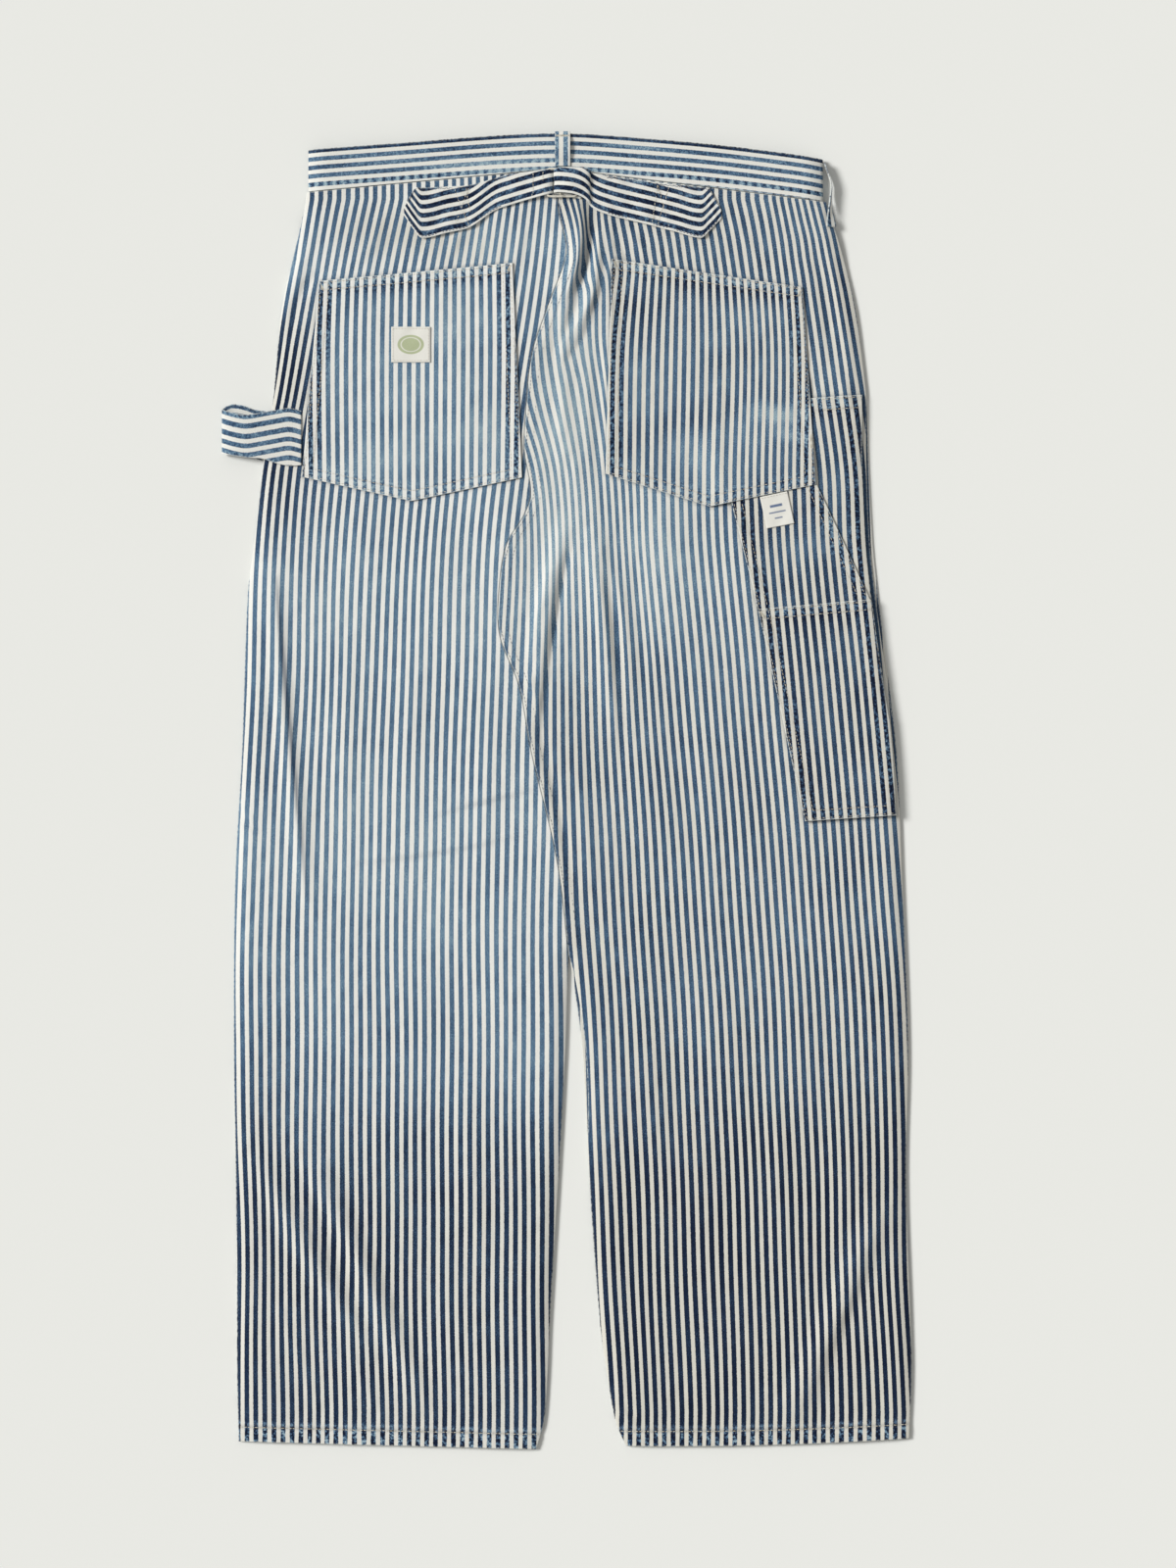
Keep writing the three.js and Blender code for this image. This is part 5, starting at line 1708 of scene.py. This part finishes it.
@dataclass
class Strap:
    """A strip of cloth through stations: each is the strap's low and high edge at that place."""

    low: Array
    high: Array
    thickness: float
    stations: int
    columns: int
    stripe: Field
    fade: float
    relief: Field | None = None
    uneven: float = 0.06
    mottle: float = 0.25
    dull: float = 0.35
    thread_lift: float = 0.08

    def centre(self) -> tuple[Array, Array, Array]:
        """The middle surface, its outward directions, and the distance along each line across.

        Returns:
            Points, directions, and millimetres across from the low edge.
        """
        both = along(np.concatenate([self.low, self.high], axis=1), self.stations)
        low, high = both[:, None, :3], both[:, None, 3:]
        width = float(np.linalg.norm(high - low, axis=-1).mean())
        s = edge_steps(self.columns, width)[None, :, None]
        points = lerp(low, high, s)
        ahead = np.gradient(points, axis=0)
        across = np.broadcast_to(high - low, points.shape)
        normal = np.cross(ahead, across)
        normal /= np.maximum(np.linalg.norm(normal, axis=-1, keepdims=True), 1e-9)
        return points, normal, (s * np.linalg.norm(high - low, axis=-1, keepdims=True))[..., 0]

    def mesh(self) -> MeshData:
        """The strip as a wall: the middle surface moved out both ways, with its relief.

        Returns:
            Its points, faces, stripes and wear.
        """
        points, normal, across = self.centre()
        width = across[:, -1:]
        step = np.linalg.norm(np.diff(points.mean(1), axis=0), axis=1)
        run = np.concatenate([[0.0], np.cumsum(step)])[:, None] + 0 * across
        edge = np.minimum(across, width - across)
        ends = np.minimum(run, run.max() - run)
        relief = self.relief(run, across) if self.relief else 0 * across
        drop = rounded(np.minimum(edge, ends))
        upper = points + normal * (self.thickness / 2 + relief - drop)[..., None]
        lower = points - normal * (self.thickness / 2 - drop * 0.6)[..., None]
        tones = waves(run, across, 40, 12) + waves(run, 2 * across, 14, 19)
        masks = {
            "fade": self.fade + self.uneven * tones,
            "dull": self.dull + 0 * across,
            "rope": self.mottle + 0.5 * bump(edge, 4),
            "rub": 0.85 * bump(edge, 0.9),
            "painted_shade": 0 * across,
        }
        uv = np.stack([self.stripe(across, width), run * MM], -1)
        return shell(upper, lower, uv, masks)

    def row(self, inset: float, start: float = 0.0, end: float = 1.0) -> Array:
        """A row along the strap, inside its low edge, or inside its high edge if below none."""
        points, normal, across = self.centre()
        width = across[:, -1]
        share = clamp((inset if inset >= 0 else width + inset) / width)
        lift = normal[:, 3] * (self.thickness / 2 + self.thread_lift)
        path = lerp(points[:, 0], points[:, -1], share[:, None]) + lift
        return path[int(start * (len(path) - 1)):int(end * (len(path) - 1)) + 1]

    def cross_row(self, x: float, lean: float) -> Array:
        """A row across the strap, where its middle first comes to an x, leaning by a width."""
        points, normal, _ = self.centre()
        middle = points.mean(1)[:, 0]
        way = np.sign(middle[1] - middle[0])
        s = np.linspace(0.06, 0.94, 24)
        k = np.argmax(way * (middle - (x + lean * (s - 0.5))[:, None]) >= 0, axis=1)
        lift = normal[k, 3] * (self.thickness / 2 + self.thread_lift)
        return lerp(points[k, 0], points[k, -1], s[:, None]) + lift


def from_low(pitch: float, first: float) -> Field:
    """Stripes counted from the low edge, the first dark one at a distance from it."""
    return lambda across, width: (across - first) / pitch


def from_high(pitch: float, first: float) -> Field:
    """Stripes counted from the high edge, the first dark one at a distance from it."""
    return lambda across, width: (width - across - first) / pitch


@dataclass
class Waistband:
    """The band, its button and the three belt loops."""

    stations: int = 560
    columns: int = 26
    stripe_pitch: float = 7.05
    first_stripe: float = 1.3
    fade: float = 0.47
    loop_row: float = 1.5
    sewing: Sewing = Sewing(width=0.55, height=0.4)
    loop_sewing: Sewing = Sewing(pitch=2.8, length=2.2, width=0.45, height=0.34)
    button_turns: int = 48
    seat_loop: tuple[tuple[float, float], ...] = (
        (521.4, 0.9), (525, 1.3), (530, 2.7), (536, 3.5), (542, 3.1), (546.5, 1.7),
        (548.6, 1.3), (549.9, 0.6), (550.05, -0.6), (550.05, -2),
    )
    side_loop: tuple[tuple[float, ...], ...] = (
        (524.5, 215.2, 1.6, 215.2, 9.4), (516, 218.6, 1.5, 218, 9.8),
        (506, 221.4, 1.5, 220.6, 10), (496, 221.2, 2.2, 219.8, 10.2),
        (486, 221.6, 4.4, 218.4, 10.6), (478, 223.8, 6.2, 217.2, 10.6),
        (471, 225.2, 6.4, 216.8, 10.2),
    )
    button_profile: tuple[tuple[float, float], ...] = (
        (0.0, 0.55), (2.2, 0.5), (4.6, 0.42), (6.0, 0.5), (6.6, 0.2), (7.2, 0.0), (7.8, 0.06),
        (8.3, 0.4), (8.5, 1.0), (8.5, 1.7), (8.1, 2.3), (7.4, 2.6), (4.0, 2.6), (1.9, 2.62),
        (1.7, 2.8), (1.7, 4.4), (1.3, 4.6), (0.0, 4.6),
    )

    def path(self) -> tuple[Array, Array]:
        """The band's low and high edge, from its inner end at the front round to its outer end.

        The front runs lie level, ramp up where they overlap, and turn over at both sides in a
        half circle. The back run is crowned and rolls off by its sides.

        Returns:
            Low and high edge points.
        """
        bend = BAND_FOLD + BAND_CLOTH / 2
        left, right = BAND_LEFT + bend, BAND_RIGHT - bend
        inner_z = BAND_LOW_Z + BAND_CLOTH + SEAM_GAP
        mid_z = (BAND_LOW_Z + BAND_FOLD_Z) / 2
        inner_x = np.linspace(-BAND_OVERLAP, right - 4, 70)
        ramp = smooth((inner_x - 30) / 32)
        inner = np.stack([inner_x, lerp(inner_z, BAND_LOW_Z, ramp), inner_x * 0 + 1], -1)
        angle = np.radians(np.linspace(-90, 90, 7))
        turn_x, turn_z = BAND_FOLD * np.cos(angle), BAND_FOLD * np.sin(angle)
        right_turn = np.stack([right + turn_x, mid_z + turn_z, 0 * angle], -1)
        back_x = np.concatenate([
            np.linspace(right - 3, right - 18, 6),
            np.linspace(right - 22, left + 22, 90),
            np.linspace(left + 18, left + 3, 6),
        ])
        edge = clamp(np.minimum(back_x - left, right - back_x) / ROLL_WIDTH)
        back = np.stack([back_x, BAND_FOLD_Z + CROWN * (1 - (1 - edge) ** 2), 0 * back_x], -1)
        left_turn = np.stack([left - turn_x, mid_z - turn_z, 0 * angle], -1)
        outer_x = np.linspace(left + 4, BAND_OVERLAP, 60)
        outer = np.stack([outer_x, 0 * outer_x + BAND_LOW_Z, 0 * outer_x + 1], -1)
        line = np.concatenate([inner, right_turn, back, left_turn, outer])
        dip = LAY.front_dip(line[:, 0]) * line[:, 2]
        low_y = LAY.waist_seam(line[:, 0]) + SEAM_GAP - dip
        high_y = BAND_TOP(line[:, 0]) - dip
        low = np.stack([line[:, 0], low_y, line[:, 1]], -1)
        high = np.stack([line[:, 0], high_y, line[:, 1]], -1)
        return low, high

    def band(self) -> Strap:
        """The band as a strap, with the puckers of its stitched lower edge."""

        def relief(run: Array, across: Array) -> Array:
            """Puckers, most by the low edge, and both rows drawn in."""
            pucker = np.sin(run / 1.7 + 1.4 * np.sin(run / 13)) * (0.12 + 0.2 * bump(across - 4, 7))
            rows = -0.2 * bump(across - 1.6, 1.2) - 0.15 * bump(across - 30, 2.0)
            return pucker + rows + 0.3 * waves(run, across, 38, 31, 1.0)

        low, high = self.path()
        stripe = from_high(self.stripe_pitch, self.first_stripe)
        return Strap(
            low, high, BAND_CLOTH, self.stations, self.columns, stripe, self.fade, relief
        )

    def build(self, finishes: Finishes) -> None:
        """Makes the band, its rows, the button and the loops.

        Args:
            finishes: the garment's materials.
        """
        band = self.band()
        data = band.mesh()
        data.masks |= {key: np.tile(value.ravel(), 2) for key, value in self.worn(band).items()}
        piece = make_cloth(data, "waistband", finishes.denim)
        sewn = [
            self.sewing.sew("waistband_dark_stitches", [band.row(-1.3)], 200,
                            finishes.dark_thread, Run.CHAIN),
            self.sewing.sew("waistband_pale_stitches", [band.row(1.5)], 210, finishes.pale_thread),
        ]
        self.loops(finishes)
        self.button(finishes)

    def worn(self, band: Strap) -> dict[str, Array]:
        """Deep dye along the top edge, a washed middle, and beads of fading by the lower edge."""
        points, _, across = band.centre()
        x = points[..., 0]
        down = across[:, -1:] - across
        low = bump(np.maximum(across - 6, 0), 5)
        beads = np.sin(2 * math.pi * x / STRIPE_PITCH + 1.2 * np.sin(x / 37))
        middle = smooth((22 - across) / 14) * bump(x + 55, 150)
        fade = band.fade + 0.09 * waves(x, 3 * across, 70, 12) + 0.20 * middle
        fade = fade + low * (0.08 + 0.34 * beads) - 0.34 * smooth((4.2 - down) / 1.5)
        return {"fade": fade + 0.02, "rope": np.maximum(0.30, 0.5 * low)}

    def loops(self, finishes: Finishes) -> None:
        """The belt loops: one at the seat, one edge-on at the right side, one turned under.

        Args:
            finishes: the garment's materials.
        """
        upper = BAND_FOLD_Z + CROWN + BAND_CLOTH / 2
        seat = np.array(self.seat_loop)
        low = np.stack([np.full(len(seat), -10.0), seat[:, 0], upper + seat[:, 1]], -1)
        stripe = from_low(7.6, 8.9)
        seat_loop = Strap(low, low + np.array([12.8, 0, 0]), CLOTH, 60, 12, stripe, 0.68)
        side = np.array(self.side_loop)
        side_loop = Strap(
            side[:, [1, 0, 2]], side[:, [3, 0, 4]], CLOTH, 60, 10, from_low(7.0, 6.5), 0.52
        )
        y = np.linspace(484, 532, 8)
        low = np.stack([y * 0 - 206, y, y * 0 + 2], -1)
        hidden = Strap(low, low + np.array([12, 0, 0]), CLOTH, 30, 10, stripe, 0.5)
        x = np.linspace(-9.2, 2.0, 8)
        tack = np.stack([x, 0 * x + 546.6, 0 * x + upper + 2.35], -1)
        plan = (
            ("belt_loop_seat", seat_loop, (0.013, 0.034), ((tack, Run.TACK),)),
            ("belt_loop_right", side_loop, (0.010, 0.056), ()),
            ("belt_loop_left", hidden, (0.012, 0.050), ()),
        )
        for k, (name, strap, flat, tacks) in enumerate(plan):
            piece = make_cloth(strap.mesh(), name, finishes.denim)
            rows = [strap.row(inset, 0.03, 0.8) for inset in (self.loop_row, -self.loop_row)]
            sewn = self.loop_sewing.sew(
                f"{name}_stitches", rows, 220 + k, finishes.pale_thread, others=tacks
            )

    def button(self, finishes: Finishes) -> None:
        """The waist button: a turned head with a sunk face and a rim, and its shank.

        The profile is carried round the button's axis, and both its ends close on the axis.

        Args:
            finishes: the garment's materials.
        """
        profile, turns = np.array(self.button_profile), self.button_turns
        angle = np.linspace(0, 2 * math.pi, turns, endpoint=False)
        y = float((LAY.waist_seam(np.array(0.0)) + BAND_TOP(np.array(0.0))) / 2) - BAND_DIP
        ring = profile[1:-1]
        x = ring[:, :1] * np.cos(angle)
        z = np.broadcast_to(ring[:, 1:], x.shape)
        points = np.stack([x, ring[:, :1] * np.sin(angle) + y, z], -1).reshape(-1, 3)
        poles = np.array([(0, y, profile[0, 1]), (0, y, profile[-1, 1])])
        grid = np.arange(len(ring) * turns).reshape(len(ring), turns)
        first = np.full(turns // 2, len(points))
        even, odd = np.arange(0, turns, 2), np.arange(1, turns, 2)
        near = np.stack([first, grid[0, (even + 2) % turns], grid[0, odd], grid[0, even]], -1)
        far = np.stack([first + 1, grid[-1, even], grid[-1, odd], grid[-1, (even + 2) % turns]], -1)
        faces = np.concatenate([tube(grid), near, far])
        points = np.concatenate([points, poles])
        data = MeshData(points, faces, points[:, :2] * MM)
        dress(data.build("waist_button_metal", finishes.button), "button", "waist_button")


@dataclass(frozen=True)
class Tab:
    """One tab of the cinch. A station is its x, low edge, high edge and lift above the back."""

    side: str
    stations: tuple[tuple[float, float, float, float], ...]
    sign: float
    marks: tuple[tuple[float, float], ...]
    length: float
    area: float
    seed: int


@dataclass
class Cinch:
    """The cinch at the centre back: two tabs that meet at a wire buckle."""

    left: Tab = Tab(
        "left",
        (
            (-136, 480.5, 487, 1), (-127, 467.5, 503, 1), (-121, 461.7, 503.6, 1),
            (-100, 466, 504.6, 1), (-81, 470.7, 506, 1), (-60, 484.6, 511.5, 1.1),
            (-46, 489.5, 515.3, 1.8), (-36, 492.5, 516.4, 2.9), (-27, 495, 517.4, 3.8),
            (-18, 497.4, 518.6, 4.9), (-14, 498.4, 518.6, 4.6), (-12.1, 498.8, 518, 3),
            (-14, 498.8, 517.6, 1.2), (-19, 498.8, 517, 1), (-31, 496, 516, 1),
        ),
        1.0, ((-82, -5.8), (-88.5, 14), (-88.5, -14), (-28.7, 1), (-20.4, 1)), 0.150, 0.0052, 240,
    )
    right: Tab = Tab(
        "right",
        (
            (129, 478, 485, 1), (118.5, 467, 503.2, 1), (112, 461.7, 504, 1), (90, 467, 506.4, 1),
            (71, 472, 508.6, 1), (52, 476.5, 511, 1), (38, 480, 512.8, 1.4), (26, 484, 515, 2.1),
            (19.8, 488, 516.4, 2.4), (18.2, 491, 518.4, 5), (14, 494.6, 519.6, 6.3),
            (7, 497.6, 520.2, 6.9), (0, 498.8, 520.4, 6.9), (-6, 499.4, 520.2, 6),
            (-9.4, 499.4, 519, 4.8), (-10.4, 499, 518, 3.2), (-9, 498, 517.6, 1.6),
            (-5, 498, 517.6, 1), (12, 494, 516, 1),
        ),
        -1.0, ((74, -4.8), (81, 11), (81, -11)), 0.175, 0.0060, 260,
    )
    width: float = 0.046
    stripe_pitch: float = 7.4
    first_stripe: float = 4.0
    row: float = 1.5
    row_span: tuple[float, float] = (0.04, 0.6)
    sewing: Sewing = Sewing(pitch=2.9, length=2.3, width=0.5, height=0.36)
    frame_x: tuple[float, float] = (-16.5, 8.0)
    frame_y: tuple[float, float] = (496.2, 519.1)
    frame_lift: float = 2.95
    frame_corner: float = 2.6
    bar_x: float = -5.5
    wire_radius: float = 0.95
    wire_sides: int = 12

    def strap(self, tab: Tab) -> Strap:
        """A tab through its stations, whose outer side faces up where it lies flat."""
        x, low_y, high_y, lift = np.array(tab.stations).T
        ground = LAY.back_top(x, np.full(len(x), 500.0)) + lift
        low, high = np.stack([x, low_y, ground], -1), np.stack([x, high_y, ground], -1)
        count = from_low if tab.sign > 0 else from_high
        if tab.sign < 0:
            low, high = high, low

        def relief(run: Array, across: Array) -> Array:
            """Cockles where the tab is drawn together, tight puckers at its rows, and waves."""
            cockle = 0.40 * np.sin(run / 4.6 + 0.8 * np.sin(across / 6)) * bump(run - 62, 34)
            pulled = 0.30 * np.sin(run / 2.3 + np.sin(across / 5)) * bump(run - 52, 12)
            return cockle + pulled + 0.28 * waves(run, across, 16, 17, 1.0)

        stripe = count(self.stripe_pitch, self.first_stripe)
        return Strap(low, high, CLOTH, 170, 24, stripe, 0.22, relief, uneven=0.13, mottle=0.4)

    def build(self, finishes: Finishes) -> None:
        """Makes both tabs, their stitches and the buckle.

        Args:
            finishes: the garment's materials.
        """
        for tab in (self.left, self.right):
            strap = self.strap(tab)
            name = f"cinch_tab_{tab.side}"
            piece = make_cloth(strap.mesh(), name, finishes.denim)
            inset = self.row * tab.sign
            low, high = strap.row(inset, *self.row_span), strap.row(-inset, *self.row_span)
            marks = [strap.cross_row(x, lean) for x, lean in tab.marks]
            sewn = [
                self.sewing.sew(f"{name}_dark_stitches", [low], tab.seed, finishes.dark_thread,
                                others=((high, Run.CHAIN),)),
                self.sewing.sew(f"{name}_pale_stitches", marks, tab.seed + 10,
                                finishes.pale_thread),
            ]
        piece = join([self.frame(), self.bar()]).build("cinch_buckle_wire", finishes.wire)
        dress(piece, "buckle_wire", "cinch_buckle")

    def wire_z(self) -> float:
        """Height of the wire's middle, over the back."""
        return float(LAY.back_top(np.array([0.0]), np.array([500.0]))[0]) + self.frame_lift

    def frame(self) -> MeshData:
        """A ring of points carried along a closed line with four rounded corners.

        Returns:
            The frame's points and faces.
        """
        (left, right), (bottom, top), corner = self.frame_x, self.frame_y, self.frame_corner
        turn = np.radians(np.linspace(0, 90, 9))
        spots = ((right - corner, top - corner), (left + corner, top - corner),
                 (left + corner, bottom + corner), (right - corner, bottom + corner))
        line = np.concatenate([
            np.array(spot) + corner * np.stack([np.cos(turn + a), np.sin(turn + a)], -1)
            for spot, a in zip(spots, np.radians([0, 90, 180, 270]))
        ])
        ahead = np.roll(line, -1, 0) - np.roll(line, 1, 0)
        ahead /= np.linalg.norm(ahead, axis=1, keepdims=True)
        out = np.stack([ahead[:, 1], -ahead[:, 0]], -1)
        angle = np.linspace(0, 2 * math.pi, self.wire_sides, endpoint=False)
        flat = line[:, None] + self.wire_radius * np.cos(angle)[None, :, None] * out[:, None]
        height = np.broadcast_to(self.wire_z() + self.wire_radius * np.sin(angle), flat.shape[:2])
        points = np.concatenate([flat, height[..., None]], -1).reshape(-1, 3)
        rings = np.arange(len(points)).reshape(len(line), self.wire_sides)
        faces = tube(np.concatenate([rings, rings[:1]]))[:, [0, 3, 2, 1]]
        return MeshData(points, faces, points[:, :2] * MM)

    def bar(self) -> MeshData:
        """A ring of points carried straight up the frame, drawn to a close at both ends.

        Returns:
            The bar's points and faces.
        """
        sides = self.wire_sides
        angle = np.linspace(0, 2 * math.pi, sides, endpoint=False)
        y = np.linspace(self.frame_y[0] + 0.4, self.frame_y[1] - 0.4, 12)
        thin = self.wire_radius * np.array([0.02] + [0.96] * 10 + [0.02])[:, None]
        x = self.bar_x + thin * np.cos(angle)
        z = self.wire_z() + thin * np.sin(angle)
        points = np.stack([x, np.broadcast_to(y[:, None], x.shape), z], -1).reshape(-1, 3)
        first = np.arange(1, sides - 2, 2)
        near = np.stack([first + 2, first + 1, first, 0 * first], -1)
        far = np.stack([0 * first, first, first + 1, first + 2], -1) + 11 * sides
        faces = np.concatenate([tube(np.arange(len(points)).reshape(12, sides)), near, far])
        return MeshData(points, faces, points[:, :2] * MM)


@dataclass
class HammerLoop:
    """The wide strap that goes from the left pocket's edge round to the left side seam."""

    stations: tuple[tuple[float, float, float, float], ...] = (
        (-221.9, 272, 317.5, 7.3), (-232, 271.5, 319.8, 7.5), (-244, 274, 318, 7.8),
        (-255, 277.5, 316, 8.3), (-268, 278.5, 314, 8.8), (-278, 280, 315.5, 8.3),
        (-284.6, 281, 317.5, 6.6), (-287.9, 281.5, 319, 4.3), (-285.8, 282, 321, 1.8),
        (-280, 282, 323.5, 0.6), (-270, 280, 322, 0.6), (-261, 278, 319, 0.6),
        (-252.6, 276, 317, 0.6),
    )
    stripes: tuple[tuple[float, ...], tuple[float, ...]] = (
        (0, 1.6, 9.2, 18.2, 26.0, 33.5, 41.5, 48), (-0.2, 0, 1, 2, 3, 4, 5, 5.8),
    )
    width: float = 44.0
    middle: float = 294.75
    end_lean: float = 0.168
    pleat: float = 12.6
    sewing: Sewing = Sewing(pitch=2.9, length=2.3, width=0.55, height=0.4)

    def strap(self) -> Strap:
        """The loop as a strap, with its pleat and kinks."""
        x, low_y, high_y, z = np.array(self.stations).T
        lean = np.zeros(len(x))
        lean[-1] = self.end_lean
        low = np.stack([x + (low_y - self.middle) * lean, low_y, z], -1)
        high = np.stack([x + (high_y - self.middle) * lean, high_y, z], -1)

        def relief(run: Array, across: Array) -> Array:
            """A pleat along the top, a hollow under it, and two kinks across the rest."""
            down = self.width - across
            pleat = 1.5 * smooth((self.pleat - down) / 1.0) * smooth((down - 4) / 7)
            pleat = pleat * smooth((run - 4) / 8) * smooth((66 - run) / 8)
            hollow = -0.5 * bump(down - self.pleat - 1, 1.8) * smooth((70 - run) / 10)
            slant = 0.3 * (down - 25)
            kinks = 0.8 * bump(run - 32 - slant, 3.2) + 0.9 * bump(run - 56 + slant, 3.0)
            kinks = kinks * smooth((down - self.pleat - 0.4) / 4)
            return pleat + hollow + kinks + 0.12 * waves(run, across, 12, 14, 1.0)

        def stripe(across: Array, width: Array) -> Array:
            """Stripes counted from the top edge, where each one's place is given."""
            return np.interp(width - across, *self.stripes)

        return Strap(low, high, CLOTH, 150, 44, stripe, 0.52, relief)

    def build(self, finishes: Finishes) -> None:
        """Makes the strap and its two rows.

        Args:
            finishes: the garment's materials.
        """
        strap = self.strap()
        piece = make_cloth(strap.mesh(), "hammer_loop", finishes.denim)
        top = strap.row(-1.8, 0.02, 0.97)
        others = ((strap.row(-9.2, 0.02, 0.5), Run.PLAIN),)
        sewn = self.sewing.sew(
            "hammer_loop_stitches", [top], 300, finishes.dark_thread, Run.CHAIN, others
        )


@dataclass
class Studio:
    """The pale ground, the lights and the camera straight above."""

    frame_height: float = 1.312
    middle: tuple[float, float] = (0.0176, 0.0057)
    lens: float = 135.0
    sensor: float = 36.0
    reach: float = 50.0
    key_strength: float = 2.97
    key_elevation: float = 42.0
    key_azimuth: float = 162.0
    key_spread: float = 20.0
    sky_strength: float = 0.385
    ground_half: float = 24000.0
    ground_drop: float = 0.6

    def camera(self) -> None:
        """Looks straight down, so that the frame's height fits its long side."""
        data = bpy.data.cameras.new("camera")
        data.lens = self.lens
        data.sensor_width = self.sensor
        data.clip_end = self.reach
        camera = bpy.data.objects.new("camera", data)
        camera.location = (*self.middle, self.frame_height * self.lens / self.sensor)
        bpy.context.scene.collection.objects.link(camera)
        bpy.context.scene.camera = camera

    def lights(self) -> None:
        """One soft key from the left, and an even sky."""
        data = bpy.data.lights.new("key", "SUN")
        data.energy = self.key_strength
        data.angle = math.radians(self.key_spread)
        data.color = (1.0, 0.99, 0.97)
        key = bpy.data.objects.new("key", data)
        up, turn = math.radians(self.key_elevation), math.radians(self.key_azimuth)
        way = Vector((math.cos(up) * math.cos(turn), math.cos(up) * math.sin(turn), math.sin(up)))
        key.rotation_mode = "QUATERNION"
        key.rotation_quaternion = (-way).to_track_quat("-Z", "Y")
        key.location = way * 2
        bpy.context.scene.collection.objects.link(key)
        world = bpy.data.worlds.new("even_sky")
        world.use_nodes = True
        sky = world.node_tree.nodes["Background"]
        sky.inputs["Color"].default_value = (1.0, 0.985, 0.955, 1.0)
        sky.inputs["Strength"].default_value = self.sky_strength
        bpy.context.scene.world = world
        bpy.context.scene.view_settings.view_transform = "Standard"

    def ground(self) -> None:
        """A wide level grid, a hair below the cloth."""
        place = np.linspace(-self.ground_half, self.ground_half, 9)
        x, y = np.meshgrid(place, place)
        points = np.stack([x, y, 0 * x - self.ground_drop], -1).reshape(-1, 3)
        faces = sheet(np.arange(81).reshape(9, 9))
        data = MeshData(points, faces, points[:, :2] * MM)
        data.build("pale_ground", Paper().material())

    def build(self) -> None:
        """Makes the camera first, then the lights and the ground."""
        self.camera()
        self.lights()
        self.ground()


def main() -> None:
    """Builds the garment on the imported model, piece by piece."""
    logging.basicConfig(level=logging.INFO, format="%(name)s %(message)s")
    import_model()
    Studio().build()
    finishes = Finishes.make()
    for part in (Backs(), Waistband(), Pockets(), Cinch(), HammerLoop()):
        part.build(finishes)
    bpy.context.view_layer.update()


if __name__ == "__main__":
    main()
